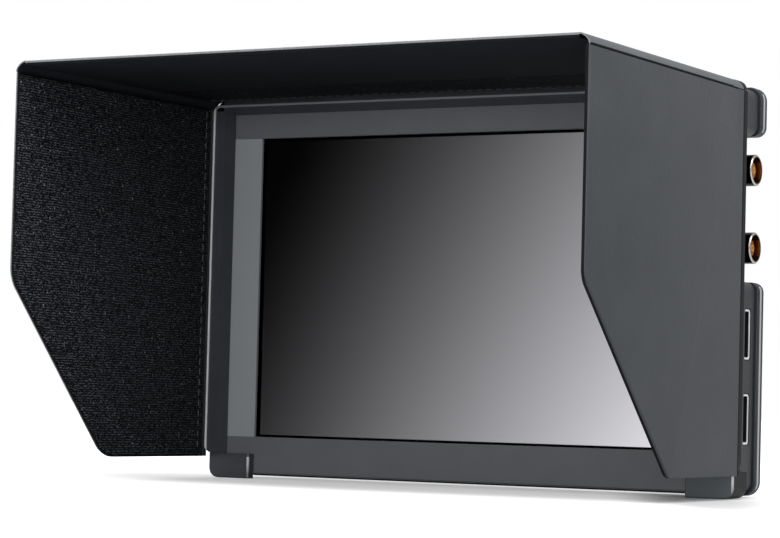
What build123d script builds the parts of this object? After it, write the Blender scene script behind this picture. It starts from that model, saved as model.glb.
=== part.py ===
import os
from build123d import *

os.makedirs("parts", exist_ok=True)

# ---- driving dimensions, mm ----
# Row frame: origin at the mouth of the tripod socket under the body, +Z up, +X right, screen towards -Y.
# "Depth" is counted back from the bezel's front face; negative depths stand in front of it.
FRONT_Y = -11.0
BODY_W = 182.0
BODY_H = 123.0
BODY_R = 3.2
HALF_W = BODY_W / 2
MID_Z = BODY_H / 2
WALL = 2.0
PLAY = 0.3  # clearance round every moving piece
FAR = 200.0  # longer than anything here, for cuts that run out of the part

BEZEL_D = 5.4
BEZEL_T = 2.2
HOUSING_FRONT = 5.5
HOUSING_BACK = 16.2
COVER_FRONT = 16.8
COVER_BACK = 22.0
COVER_T = 2.0
LIP = 1.0  # how far the rear cover stands proud of the housing

WIN_W = 157.0
WIN_LOW = 12.2
WIN_HIGH = 111.0
WIN_H = WIN_HIGH - WIN_LOW
WIN_Z = (WIN_HIGH + WIN_LOW) / 2
FACET_OUT = 88.5  # where the sloping side strips start
FACET_DROP = 1.2  # how far they fall in at the window

BAY_X = 79.5  # inner wall of the jack bay
BAY_FRONT = 7.0
BAY_LOW = 64.1
BAY_HIGH = 108.8
BAY_Z = (BAY_LOW + BAY_HIGH) / 2
BAY_H = BAY_HIGH - BAY_LOW
BAY_R = 3.0
BAY_WALL = 1.5

JACK_R = 4.8
JACK_BORE = 4.05
JACK_DEPTH = 16.3
JACK_TIP = 91.0
JACK_Z = (74.5, 98.3)
HDMI_DEPTH = 11.25
HDMI_Z = (22.3, 48.0)
HDMI_LONG = 15.2
HDMI_WIDE = 4.7

FLAP_TIP = 111.3  # reach of the flaps in front of the bezel
FLAP_LOW = 5.4
KNEE_Z = 58.4  # where a side flap's front edge turns back
KNEE_TIP = 58.0  # reach of its bottom edge
SIDE_TOP = 120.4
FLAP_T = 1.4
SKIN_T = 0.4
LINING_T = 0.4
RIM = 0.5
FLAP_OUT = 94.7  # outer face of the side flaps
TOP_HALF_W = 91.4
HEM_DROP = 3.0  # how far the top flap's soft hems slope down to the side flaps
HEM_LOW = SIDE_TOP + PLAY
TOP_FACE = HEM_LOW + HEM_DROP
RAIL_TIP = 4.2  # how far the rails stand in front of the bezel
BEAD_TIP = 5.0  # and the bead along their outer edge
FOLD_LEFT = BEAD_TIP + PLAY + FLAP_T
FOLD_RIGHT = FOLD_LEFT + PLAY + FLAP_T
FOLD_TOP = FOLD_RIGHT + PLAY + HEM_DROP
FOLD_GAP = 0.6  # bare fabric between a fold line and its board
STRIP_T = 0.4
STRIP_BACK = 3.4  # how far in front of the bezel the fold strips end on the rails


def facade(depth):
    """A sketch plane facing the viewer at a depth; a negative extrusion runs back from it."""
    return Plane.XZ.offset(-(FRONT_Y + depth))


def side(x):
    """A sketch plane facing +X, with Y across and Z up."""
    return Plane.YZ.offset(x)


def level(z):
    """A level sketch plane facing up."""
    return Plane.XY.offset(z)


def save(part, label):
    """Write one sub-part to its own STEP file."""
    part.label = label
    export_step(part, "parts/" + label + ".step")


def bay_corner(vertex):
    """True for a sketch vertex on the jack bay's outline."""
    return vertex.X > BAY_X - WALL and BAY_LOW - WALL < vertex.Y < BAY_HIGH + WALL


def body_outline(grow):
    """Draw the body as seen from the front, with the jack bay taken out of its right side."""
    with Locations((0, MID_Z)):
        RectangleRounded(BODY_W + 2 * grow, BODY_H + 2 * grow, BODY_R + grow)
    with Locations((BAY_X, BAY_Z)):
        Rectangle(BODY_W, BAY_H, align=(Align.MIN, Align.CENTER), mode=Mode.SUBTRACT)
    fillet(vertices().filter_by(bay_corner), BAY_R)


def cavity_outline(inset):
    """Draw the room inside walls of a thickness, kept clear of the jack bay."""
    with Locations((0, MID_Z)):
        RectangleRounded(BODY_W - 2 * inset, BODY_H - 2 * inset, BODY_R - inset / 2)
    bay_inset = inset + BAY_WALL - WALL
    with Locations((BAY_X - bay_inset, BAY_Z)):
        tall = BAY_H + 2 * bay_inset
        Rectangle(BODY_W, tall, align=(Align.MIN, Align.CENTER), mode=Mode.SUBTRACT)


# ---- front bezel: flat bars above and below, side strips sloping in to the window ----
BEZEL_EDGE = 0.5


def make_front_bezel():
    with BuildPart() as front_bezel:
        with BuildSketch(facade(0)):
            with Locations((0, MID_Z)):
                RectangleRounded(BODY_W, BODY_H, BODY_R)
        extrude(amount=-BEZEL_D)
        chamfer(edges().group_by(Axis.Y)[0], BEZEL_EDGE)
        with BuildSketch(facade(BEZEL_T)):
            with Locations((0, MID_Z)):
                RectangleRounded(BODY_W - 2 * WALL, BODY_H - 2 * WALL, BODY_R - WALL)
        extrude(amount=-BEZEL_D, mode=Mode.SUBTRACT)
        with BuildSketch(facade(-1)):
            with Locations((0, WIN_Z)):
                Rectangle(WIN_W, WIN_H)
        extrude(amount=-BEZEL_D, mode=Mode.SUBTRACT)
        for hand in (-1, 1):
            with BuildSketch(level(WIN_LOW)):
                with BuildLine():
                    outer = (hand * FACET_OUT, FRONT_Y)
                    inner = (hand * WIN_W / 2, FRONT_Y)
                    sunk = (hand * WIN_W / 2, FRONT_Y + FACET_DROP)
                    Polyline(outer, inner, sunk, close=True)
                make_face()
            extrude(amount=WIN_H, mode=Mode.SUBTRACT)
    save(front_bezel.part, "front_bezel")


# ---- display stack: tape, cover glass, panel, backlight, chassis plate ----
GLASS_W = 162.0
GLASS_H = 106.0
GLASS_DEPTH = 2.5
GLASS_T = 1.0
TAPE_DEPTH = 2.2
TAPE_T = 0.3
PANEL_W = 158.4
PANEL_H = 101.0
PANEL_DEPTH = 3.6
PANEL_T = 1.1
LIGHT_W = 155.0
LIGHT_DEPTH = 4.8
LIGHT_T = 2.7
CHASSIS_W = 150.0
CHASSIS_H = 98.0
CHASSIS_DEPTH = 7.7
CHASSIS_T = 1.0
STANDOFF_X = 48.0
STANDOFF_Z = 34.0
STANDOFF_R = 2.5
STANDOFF_LEN = 3.3


def make_glass_tape():
    with BuildPart() as glass_tape:
        with BuildSketch(facade(TAPE_DEPTH)):
            with Locations((0, WIN_Z)):
                Rectangle(GLASS_W, GLASS_H)
                Rectangle(WIN_W + 1, WIN_H + 1, mode=Mode.SUBTRACT)
        extrude(amount=-TAPE_T)
    save(glass_tape.part, "glass_tape")


def make_slab(label, width, height, depth, thick, radius):
    """A rounded flat sheet standing behind the window."""
    with BuildPart() as slab:
        with BuildSketch(facade(depth)):
            with Locations((0, WIN_Z)):
                RectangleRounded(width, height, radius)
        extrude(amount=-thick)
    save(slab.part, label)


def make_chassis_plate():
    with BuildPart() as chassis_plate:
        with BuildSketch(facade(CHASSIS_DEPTH)):
            with Locations((0, WIN_Z)):
                RectangleRounded(CHASSIS_W, CHASSIS_H, 3)
                with GridLocations(2 * STANDOFF_X / 3, STANDOFF_Z, 3, 2):
                    SlotOverall(18, 5, mode=Mode.SUBTRACT)
        extrude(amount=-CHASSIS_T)
        with BuildSketch(facade(CHASSIS_DEPTH)):
            with Locations((0, WIN_Z)):
                with GridLocations(2 * STANDOFF_X, 2 * STANDOFF_Z, 2, 2):
                    Circle(STANDOFF_R)
        extrude(amount=-CHASSIS_T - STANDOFF_LEN)
    save(chassis_plate.part, "chassis_plate")


# ---- middle housing: walls, jack bay, socket openings, screw posts and the tripod block ----
BUTTON_NAMES = ("power", "input", "menu", "down", "up", "exit")
BUTTON_R = 2.5
BUTTON_DEPTH = 11.0
BUTTON_X0 = -52.0
BUTTON_PITCH = 13.0
PHONE_Z = 30.0
PHONE_R = 3.0
DC_Z = 60.0
DC_R = 3.7
LEFT_DEPTH = 10.9
TRIPOD_R = 3.175
TRIPOD_LEN = 8.0
INSERT_WALL_R = 4.5
BLOCK_W = 16.0
BLOCK_D = 9.8
BLOCK_H = 10.0
SCREW_X = 82.0
SCREW_Z = (8.5, 115.3)
SCREW_R = 1.3
SCREW_HEAD_R = 2.6
SCREW_HEAD_T = 1.6
POST_R = 3.2
WEB_BACK = 14.5  # the webs stop short of the rear cover's skirt
SOCKET_PLAY = 0.25


def button_spot(index):
    """Where a button stands on the top face, as (X, Y)."""
    return (BUTTON_X0 + BUTTON_PITCH * index, FRONT_Y + BUTTON_DEPTH)


def screw_spots():
    """The rear cover's screws as (X, Z)."""
    return [(hand * SCREW_X, z) for hand in (-1, 1) for z in SCREW_Z]


def make_housing():
    with BuildPart() as housing:
        with BuildSketch(facade(HOUSING_FRONT)):
            with Locations((0, MID_Z)):
                RectangleRounded(BODY_W, BODY_H, BODY_R)
        extrude(amount=-(BAY_FRONT - HOUSING_FRONT))
        with BuildSketch(facade(BAY_FRONT)):
            body_outline(0)
        extrude(amount=-(HOUSING_BACK - BAY_FRONT))
        with BuildSketch(facade(HOUSING_FRONT)):
            cavity_outline(WALL)
        extrude(amount=-(HOUSING_BACK - HOUSING_FRONT), mode=Mode.SUBTRACT)
        # posts for the cover screws, webbed to the nearest side wall
        with BuildSketch(facade(HOUSING_FRONT)):
            with Locations(*screw_spots()):
                Circle(POST_R)
        extrude(amount=-(HOUSING_BACK - HOUSING_FRONT))
        with BuildSketch(facade(HOUSING_FRONT)):
            for x, z in screw_spots():
                wall_side = Align.MIN if x > 0 else Align.MAX
                with Locations((x, z)):
                    Rectangle(HALF_W - SCREW_X - 1, WALL, align=(wall_side, Align.CENTER))
        extrude(amount=-(WEB_BACK - HOUSING_FRONT))
        with BuildSketch(facade(HOUSING_BACK)):
            with Locations(*screw_spots()):
                Circle(SCREW_R)
        extrude(amount=WALL * 4, mode=Mode.SUBTRACT)
        # tripod block
        with BuildSketch(level(0)):
            RectangleRounded(BLOCK_W, BLOCK_D, 1)
        extrude(amount=BLOCK_H)
        with BuildSketch(level(0)):
            Circle(INSERT_WALL_R)
        extrude(amount=TRIPOD_LEN, mode=Mode.SUBTRACT)
        # right side: two HDMI openings and two jack holes
        with BuildSketch(side(HALF_W)):
            for z in HDMI_Z:
                with Locations((FRONT_Y + HDMI_DEPTH, z)):
                    RectangleRounded(HDMI_WIDE + 2 * SOCKET_PLAY, HDMI_LONG + 2 * SOCKET_PLAY, 1.2)
        extrude(amount=-2 * WALL, mode=Mode.SUBTRACT)
        with BuildSketch(side(BAY_X)):
            for z in JACK_Z:
                with Locations((FRONT_Y + JACK_DEPTH, z)):
                    Circle(JACK_R + SOCKET_PLAY)
        extrude(amount=-2 * BAY_WALL, mode=Mode.SUBTRACT)
        # left side: phone and power openings
        with BuildSketch(side(-HALF_W)):
            with Locations((FRONT_Y + LEFT_DEPTH, PHONE_Z)):
                Circle(PHONE_R + SOCKET_PLAY)
            with Locations((FRONT_Y + LEFT_DEPTH, DC_Z)):
                Circle(DC_R + SOCKET_PLAY)
        extrude(amount=2 * WALL, mode=Mode.SUBTRACT)
        # top: one hole per button
        with BuildSketch(level(BODY_H)):
            for index in range(len(BUTTON_NAMES)):
                with Locations(button_spot(index)):
                    Circle(BUTTON_R + PLAY)
        extrude(amount=-2 * WALL, mode=Mode.SUBTRACT)
    save(housing.part, "housing")


def make_tripod_insert():
    with BuildPart() as tripod_insert:
        with BuildSketch(level(0)):
            Circle(INSERT_WALL_R)
            Circle(TRIPOD_R, mode=Mode.SUBTRACT)
        extrude(amount=TRIPOD_LEN)
    save(tripod_insert.part, "tripod_insert")


# ---- rear cover: lipped shell with vents, insert bosses and screw pockets ----
VENT_COLS = 5
VENT_ROWS = 4
VENT_W = 18.0
VENT_H = 1.8
VENT_STEP_X = 22.0
VENT_STEP_Z = 4.2
VENT_Z = 105.5
SKIRT_LEN = 2.0
SKIRT_T = 1.2
SKIRT_PLAY = 0.15
MOUNT_STEP = 75.0
MOUNT_Z = 52.0
MOUNT_R = 1.65
MOUNT_WALL_R = 2.8
MOUNT_LEN = 5.0
MOUNT_BOSS_R = 4.2
COVER_EDGE = 1.2
LIP_EDGE = 0.5


def mount_spots():
    """The four mounting inserts as (X, Z)."""
    half = MOUNT_STEP / 2
    return [(a * half, MOUNT_Z + c * half) for a in (-1, 1) for c in (-1, 1)]


def make_rear_cover():
    with BuildPart() as rear_cover:
        with BuildSketch(facade(COVER_FRONT)):
            body_outline(LIP)
        extrude(amount=-(COVER_BACK - COVER_FRONT))
        fillet(edges().group_by(Axis.Y)[-1], COVER_EDGE)
        fillet(edges().group_by(Axis.Y)[0], LIP_EDGE)
        skirt_in = WALL + SKIRT_PLAY
        with BuildSketch(facade(COVER_FRONT - SKIRT_LEN)):
            cavity_outline(skirt_in)
        extrude(amount=-SKIRT_LEN)
        with BuildSketch(facade(COVER_FRONT - SKIRT_LEN)):
            cavity_outline(skirt_in + SKIRT_T)
        extrude(amount=-(SKIRT_LEN + COVER_BACK - COVER_FRONT - COVER_T), mode=Mode.SUBTRACT)
        # room for the tripod block in the skirt's lower run
        with BuildSketch(facade(COVER_FRONT - SKIRT_LEN)):
            with Locations((0, BLOCK_H / 2)):
                Rectangle(BLOCK_W + 2 * PLAY, BLOCK_H + 2 * PLAY)
        extrude(amount=-SKIRT_LEN, mode=Mode.SUBTRACT)
        with BuildSketch(facade(COVER_FRONT)):
            with Locations(*mount_spots()):
                Circle(MOUNT_BOSS_R)
        extrude(amount=-(COVER_BACK - COVER_FRONT - 1))
        with BuildSketch(facade(HOUSING_BACK)):
            with Locations(*screw_spots()):
                Circle(SCREW_HEAD_R + 1.4)
        extrude(amount=-(COVER_BACK - HOUSING_BACK - 1))
        with BuildSketch(facade(COVER_BACK)):
            with Locations(*mount_spots()):
                Circle(MOUNT_WALL_R)
        extrude(amount=MOUNT_LEN, mode=Mode.SUBTRACT)
        with BuildSketch(facade(COVER_BACK)):
            with Locations(*screw_spots()):
                Circle(SCREW_HEAD_R + 0.2)
        extrude(amount=SCREW_HEAD_T + 0.6, mode=Mode.SUBTRACT)
        with BuildSketch(facade(COVER_BACK)):
            with Locations(*screw_spots()):
                Circle(SCREW_R)
        extrude(amount=COVER_BACK - HOUSING_BACK + 1, mode=Mode.SUBTRACT)
        with BuildSketch(facade(COVER_BACK)):
            with Locations((0, VENT_Z)):
                with GridLocations(VENT_STEP_X, VENT_STEP_Z, VENT_COLS, VENT_ROWS):
                    Rectangle(VENT_W, VENT_H)
        extrude(amount=2 * COVER_T, mode=Mode.SUBTRACT)
        with BuildSketch(side(BAY_X)):
            for z in JACK_Z:
                with Locations((FRONT_Y + JACK_DEPTH, z)):
                    Circle(JACK_R + SOCKET_PLAY)
        extrude(amount=-4 * BAY_WALL, mode=Mode.SUBTRACT)
    save(rear_cover.part, "rear_cover")


def make_cover_screws():
    head_back = COVER_BACK - 0.4
    with BuildPart() as cover_screws:
        with BuildSketch(facade(head_back)):
            with Locations(*screw_spots()):
                Circle(SCREW_HEAD_R)
        extrude(amount=SCREW_HEAD_T)
        with BuildSketch(facade(head_back)):
            with Locations(*screw_spots()):
                Circle(SCREW_R)
        extrude(amount=SCREW_HEAD_T + 8)
        with BuildSketch(facade(head_back)):
            with Locations(*screw_spots()):
                RegularPolygon(1.2, 6)
        extrude(amount=1, mode=Mode.SUBTRACT)
    save(cover_screws.part, "cover_screws")


def make_mount_inserts():
    with BuildPart() as mount_inserts:
        with BuildSketch(facade(COVER_BACK)):
            for spot in mount_spots():
                with Locations(spot):
                    Circle(MOUNT_WALL_R)
                    Circle(MOUNT_R, mode=Mode.SUBTRACT)
        extrude(amount=MOUNT_LEN)
    save(mount_inserts.part, "mount_inserts")


# ---- circuit boards ----
BOARD_T = 1.6
MAIN_X = -6.0
MAIN_W = 126.0
MAIN_H = 86.0
MAIN_Z = 58.0
MAIN_DEPTH = 12.1
CHIP_STEP_X = 34.0
CHIP_STEP_Z = 28.0
CHIP_SIZE = 14.0
CHIP_T = 1.5
PORT_BOARD_X = 72.0
PORT_BOARD_W = 30.0
PORT_BOARD_Z = 36.5
PORT_BOARD_H = 47.0
PORT_BOARD_DEPTH = 14.4
POWER_BOARD_X = -74.5
POWER_BOARD_W = 25.0
POWER_BOARD_Z = 45.0
POWER_BOARD_H = 48.0
POWER_BOARD_DEPTH = 15.5
JACK_BOARD_X = 64.0
JACK_BOARD_D = 9.0
JACK_BOARD_UP = 0.9
JACK_BOARD_H = 40.0


def make_board(label, x, z, width, height, depth):
    """A flat circuit board parallel to the screen, with a hole near each corner."""
    with BuildPart() as board:
        with BuildSketch(facade(depth)):
            with Locations((x, z)):
                RectangleRounded(width, height, 1.5)
                with GridLocations(width - 6, height - 6, 2, 2):
                    Circle(1.1, mode=Mode.SUBTRACT)
        extrude(amount=-BOARD_T)
    save(board.part, label)


def make_board_chips():
    with BuildPart() as board_chips:
        with BuildSketch(facade(MAIN_DEPTH + BOARD_T)):
            with Locations((MAIN_X, MAIN_Z)):
                with GridLocations(CHIP_STEP_X, CHIP_STEP_Z, 3, 2):
                    Rectangle(CHIP_SIZE, CHIP_SIZE)
        extrude(amount=-CHIP_T)
        chamfer(edges().group_by(Axis.Y)[-1], 0.3)
    save(board_chips.part, "board_chips")


def make_jack_board():
    with BuildPart() as jack_board:
        with BuildSketch(side(JACK_BOARD_X)):
            with Locations((FRONT_Y + JACK_DEPTH - JACK_BOARD_UP, (JACK_Z[0] + JACK_Z[1]) / 2)):
                Rectangle(JACK_BOARD_D, JACK_BOARD_H)
        extrude(amount=BOARD_T)
    save(jack_board.part, "jack_board")


# ---- BNC jacks in the bay: barrel with bayonet lugs, insulator, centre contact, ring nut ----
JACK_ROOT = JACK_BOARD_X + BOARD_T + 0.1
JACK_BASE_R = 3.5
JACK_FLOOR = 82.0
JACK_RIM = 0.35
LUG_R = 1.0
LUG_RISE = 0.7
LUG_X = 86.4
NUT_FLATS = 11.4
NUT_T = 2.0
CONTACT_R = 1.1
CONTACT_TIP = 90.0
CORE_R = 2.4
CORE_TIP = 89.6


def jack_spots():
    """The jack axes as (Y, Z)."""
    return [(FRONT_Y + JACK_DEPTH, z) for z in JACK_Z]


def jack_rod(start, end, radius, mode=Mode.ADD):
    """A round length on every jack axis, between two X positions."""
    with BuildSketch(side(start)) as ends:
        with Locations(*jack_spots()):
            Circle(radius)
    extrude(ends.sketch, amount=end - start, mode=mode)


def make_jack_bodies():
    with BuildPart() as jack_bodies:
        jack_rod(BAY_X - BAY_WALL - 1, JACK_TIP, JACK_R)
        chamfer(edges().filter_by(GeomType.CIRCLE).group_by(Axis.X)[-1], JACK_RIM)
        jack_rod(JACK_ROOT, BAY_X, JACK_BASE_R)
        with BuildSketch(facade(JACK_DEPTH + JACK_R + LUG_RISE)):
            for z in JACK_Z:
                with Locations((LUG_X, z)):
                    Circle(LUG_R)
        extrude(amount=2 * (JACK_R + LUG_RISE))
        jack_rod(JACK_FLOOR, JACK_TIP, JACK_BORE, mode=Mode.SUBTRACT)
    save(jack_bodies.part, "jack_bodies")


def make_jack_cores():
    with BuildPart() as jack_cores:
        jack_rod(JACK_FLOOR, CORE_TIP, CORE_R)
        jack_rod(JACK_FLOOR, CORE_TIP, CONTACT_R, mode=Mode.SUBTRACT)
    save(jack_cores.part, "jack_cores")


def make_jack_contacts():
    with BuildPart() as jack_contacts:
        jack_rod(JACK_FLOOR, CONTACT_TIP, CONTACT_R)
        jack_rod(CONTACT_TIP - 3, CONTACT_TIP, CONTACT_R / 2, mode=Mode.SUBTRACT)
    save(jack_contacts.part, "jack_contacts")


def make_jack_nuts():
    with BuildPart() as jack_nuts:
        with BuildSketch(side(BAY_X)):
            for spot in jack_spots():
                with Locations(spot):
                    RegularPolygon(NUT_FLATS / 2, 6, major_radius=False, rotation=30)
                    Circle(JACK_R, mode=Mode.SUBTRACT)
        extrude(amount=NUT_T)
    save(jack_nuts.part, "jack_nuts")


# ---- HDMI sockets: folded shells and their contact tongues ----
HDMI_ROOT = 77.4
HDMI_TIP = 90.7
SHELL_T = 0.6
TONGUE_T = 1.1
TONGUE_LONG = 11.6


def hdmi_block(start, end, wide, long, radius, mode=Mode.ADD):
    """A rounded bar in each HDMI position, between two X positions."""
    with BuildSketch(side(start)) as ends:
        for z in HDMI_Z:
            with Locations((FRONT_Y + HDMI_DEPTH, z)):
                RectangleRounded(wide, long, radius)
    extrude(ends.sketch, amount=end - start, mode=mode)


def make_hdmi_shells():
    inner_wide = HDMI_WIDE - 2 * SHELL_T
    inner_long = HDMI_LONG - 2 * SHELL_T
    with BuildPart() as hdmi_shells:
        hdmi_block(HDMI_ROOT, HDMI_TIP, HDMI_WIDE, HDMI_LONG, 1.0)
        hdmi_block(HDMI_ROOT + 2, HDMI_TIP, inner_wide, inner_long, 0.6, mode=Mode.SUBTRACT)
    save(hdmi_shells.part, "hdmi_shells")


def make_hdmi_tongues():
    with BuildPart() as hdmi_tongues:
        hdmi_block(HDMI_ROOT + 2, HDMI_TIP - 2, TONGUE_T, TONGUE_LONG, 0.3)
    save(hdmi_tongues.part, "hdmi_tongues")


# ---- left side: phone jack and power inlet ----
SOCKET_ROOT = -78.2
PHONE_BOX = 5.6
PHONE_BORE = 1.8
DC_BOX = 7.2
DC_BORE = 2.8
DC_PIN_R = 1.0
DC_FLOOR = -80.0


def make_phone_jack():
    spot = (FRONT_Y + LEFT_DEPTH, PHONE_Z)
    with BuildPart() as phone_jack:
        with BuildSketch(side(SOCKET_ROOT)):
            with Locations(spot):
                Rectangle(PHONE_BOX, PHONE_BOX)
        extrude(amount=-(HALF_W - WALL + SOCKET_ROOT - PLAY))
        with BuildSketch(side(SOCKET_ROOT)):
            with Locations(spot):
                Circle(PHONE_R)
        extrude(amount=-(HALF_W + SOCKET_ROOT))
        with BuildSketch(side(-HALF_W)):
            with Locations(spot):
                Circle(PHONE_BORE)
        extrude(amount=12, mode=Mode.SUBTRACT)
    save(phone_jack.part, "phone_jack")


def make_dc_jack():
    spot = (FRONT_Y + LEFT_DEPTH, DC_Z)
    with BuildPart() as dc_jack:
        with BuildSketch(side(SOCKET_ROOT)):
            with Locations(spot):
                Rectangle(DC_BOX, DC_BOX + 1)
        extrude(amount=-(HALF_W - WALL + SOCKET_ROOT - PLAY))
        with BuildSketch(side(SOCKET_ROOT)):
            with Locations(spot):
                Circle(DC_R)
        extrude(amount=-(HALF_W + SOCKET_ROOT))
        with BuildSketch(side(-HALF_W)):
            with Locations(spot):
                Circle(DC_BORE)
        extrude(amount=HALF_W + DC_FLOOR, mode=Mode.SUBTRACT)
    save(dc_jack.part, "dc_jack")


def make_dc_pin():
    with BuildPart() as dc_pin:
        with BuildSketch(side(DC_FLOOR)):
            with Locations((FRONT_Y + LEFT_DEPTH, DC_Z)):
                Circle(DC_PIN_R)
        extrude(amount=-(HALF_W + DC_FLOOR - 1.5))
        chamfer(edges().group_by(Axis.X)[0], 0.4)
    save(dc_pin.part, "dc_pin")


# ---- top buttons, their board and switches ----
BUTTON_TOP = BODY_H + 0.8
BUTTON_LOW = 119.4
BUTTON_FLANGE_R = 3.4
BUTTON_FLANGE_T = 1.0
SWITCH_TOP = 118.6
SWITCH_LOW = 117.3
SWITCH_SIZE = 4.5
BUTTON_BOARD_Z = 115.7
BUTTON_BOARD_D = 8.0


def make_button(index, name):
    with BuildPart() as button:
        with BuildSketch(level(BUTTON_LOW)):
            with Locations(button_spot(index)):
                Circle(BUTTON_FLANGE_R)
        extrude(amount=BUTTON_FLANGE_T)
        with BuildSketch(level(BUTTON_LOW)):
            with Locations(button_spot(index)):
                Circle(BUTTON_R)
        extrude(amount=BUTTON_TOP - BUTTON_LOW)
        chamfer(edges().group_by(Axis.Z)[-1], 0.4)
    save(button.part, name + "_button")


def make_button_board():
    middle = BUTTON_X0 + BUTTON_PITCH * (len(BUTTON_NAMES) - 1) / 2
    long = BUTTON_PITCH * len(BUTTON_NAMES)
    with BuildPart() as button_board:
        with BuildSketch(level(BUTTON_BOARD_Z)):
            with Locations((middle, FRONT_Y + BUTTON_DEPTH)):
                Rectangle(long, BUTTON_BOARD_D)
        extrude(amount=SWITCH_LOW - BUTTON_BOARD_Z)
    save(button_board.part, "button_board")


def make_button_switches():
    with BuildPart() as button_switches:
        for index in range(len(BUTTON_NAMES)):
            with BuildSketch(level(SWITCH_LOW)):
                with Locations(button_spot(index)):
                    Rectangle(SWITCH_SIZE, SWITCH_SIZE)
            extrude(amount=SWITCH_TOP - SWITCH_LOW - 0.3)
            with BuildSketch(level(SWITCH_LOW)):
                with Locations(button_spot(index)):
                    Circle(SWITCH_SIZE / 4)
            extrude(amount=SWITCH_TOP - SWITCH_LOW)
    save(button_switches.part, "button_switches")


# ---- battery plate on the back: base, grooved rails, contact block, blades, latch ----
PLATE_W = 42.0
PLATE_H = 64.0
PLATE_Z = 52.0
PLATE_T = 2.5
PLATE_BACK = COVER_BACK + PLATE_T
RAIL_H = 6.5
RAIL_W = 3.2
LIP_W = 2.0
LIP_T = 2.0
LIP_LEN = 11.0
LIP_STEP = 24.0
BLOCK_X = 18.0
BLOCK_Z = 5.0
BLOCK_RISE = 5.0
BLADE_STEP = 5.0
BLADE_T = 0.8
BLADE_LEN = 5.0
LATCH_W = 10.0
LATCH_H = 7.0
LATCH_T = 2.2
LATCH_RISE = 1.6
LATCH_Z = PLATE_Z + PLATE_H / 2 - 8
PLATE_SCREW_X = 12.0
PLATE_SCREW_Z = 22.0
PLATE_SCREW_R = 2.2


def make_battery_plate():
    plate_low = PLATE_Z - PLATE_H / 2
    with BuildPart() as battery_plate:
        with BuildSketch(facade(COVER_BACK)):
            with Locations((0, PLATE_Z)):
                RectangleRounded(PLATE_W, PLATE_H, 3)
        extrude(amount=-PLATE_T)
        for hand in (-1, 1):
            with BuildSketch(facade(PLATE_BACK)):
                with Locations((hand * (PLATE_W / 2 - RAIL_W / 2), PLATE_Z)):
                    Rectangle(RAIL_W, PLATE_H - 6)
            extrude(amount=-RAIL_H)
            with BuildSketch(facade(PLATE_BACK + RAIL_H - LIP_T)):
                with Locations((hand * (PLATE_W / 2 - RAIL_W - LIP_W / 2), PLATE_Z)):
                    with GridLocations(LIP_W, LIP_STEP, 1, 2):
                        Rectangle(LIP_W, LIP_LEN)
            extrude(amount=-LIP_T)
        with BuildSketch(facade(PLATE_BACK)):
            with Locations((0, plate_low + BLOCK_Z / 2)):
                Rectangle(BLOCK_X, BLOCK_Z)
        extrude(amount=-BLOCK_RISE)
        with BuildSketch(facade(PLATE_BACK)):
            with Locations((0, LATCH_Z)):
                Rectangle(LATCH_W + 2 * PLAY, LATCH_H + 2 * PLAY)
        extrude(amount=PLATE_T, mode=Mode.SUBTRACT)
        with BuildSketch(facade(PLATE_BACK)):
            with Locations((0, PLATE_Z)):
                with GridLocations(2 * PLATE_SCREW_X, 2 * PLATE_SCREW_Z, 2, 2):
                    Circle(PLATE_SCREW_R)
        extrude(amount=1.4, mode=Mode.SUBTRACT)
    save(battery_plate.part, "battery_plate")


def make_plate_screws():
    with BuildPart() as plate_screws:
        with BuildSketch(facade(PLATE_BACK - 1.4)):
            with Locations((0, PLATE_Z)):
                with GridLocations(2 * PLATE_SCREW_X, 2 * PLATE_SCREW_Z, 2, 2):
                    Circle(PLATE_SCREW_R)
        extrude(amount=-1.1)
        with BuildSketch(facade(PLATE_BACK)):
            with Locations((0, PLATE_Z)):
                with GridLocations(2 * PLATE_SCREW_X, 2 * PLATE_SCREW_Z, 2, 2):
                    Rectangle(2.4, 0.6)
                    Rectangle(0.6, 2.4)
        extrude(amount=1, mode=Mode.SUBTRACT)
    save(plate_screws.part, "plate_screws")


def make_battery_blades():
    blade_z = PLATE_Z - PLATE_H / 2 + BLOCK_Z
    with BuildPart() as battery_blades:
        with BuildSketch(facade(PLATE_BACK + BLOCK_RISE / 2 - 1)):
            with Locations((0, blade_z + BLADE_LEN / 2)):
                with GridLocations(BLADE_STEP, BLADE_LEN, 3, 1):
                    Rectangle(BLADE_T, BLADE_LEN)
        extrude(amount=-2)
    save(battery_blades.part, "battery_blades")


def make_battery_latch():
    with BuildPart() as battery_latch:
        with BuildSketch(facade(PLATE_BACK + LATCH_RISE)):
            with Locations((0, LATCH_Z)):
                RectangleRounded(LATCH_W, LATCH_H, 0.8)
        extrude(amount=LATCH_T)
        chamfer(edges().group_by(Axis.Y)[-1], 0.4)
    save(battery_latch.part, "battery_latch")


# ---- hood frame: a U of stepped rails in front of the bezel, with a skirt round the body ----
RAIL_OUT = FLAP_OUT - STRIP_T
RAIL_TOP = TOP_FACE - STRIP_T
RAIL_LAND = 90.0  # inner edge of the flat land on the side rails
RAIL_FOOT = 88.2  # inner edge where the slope meets the bezel
TOP_LAND = 120.7
TOP_FOOT = 119.0
LEG_LOW = 6.6
LEG_R = 2.5
CROWN_W = 3.1  # sloping corners that carry the top flap's hems
CROWN_H = 2.8
BEAD_W = 0.8
BEAD_TOP = 122.0
BEAD_R = 2.5
BEAD_EDGE = 0.35
SKIRT_OUT = 92.8
SKIRT_TOP = 124.2
SKIRT_IN = HALF_W + PLAY
SKIRT_BACK = 2.6
SKIRT_R = 3.0


def arch(half, top, low, radius):
    """Draw a block with rounded top corners, standing between two heights."""
    with Locations((0, top)):
        Rectangle(2 * half, top - low, align=(Align.CENTER, Align.MAX))
    fillet(vertices().group_by(Axis.Y)[-1], radius)


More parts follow.
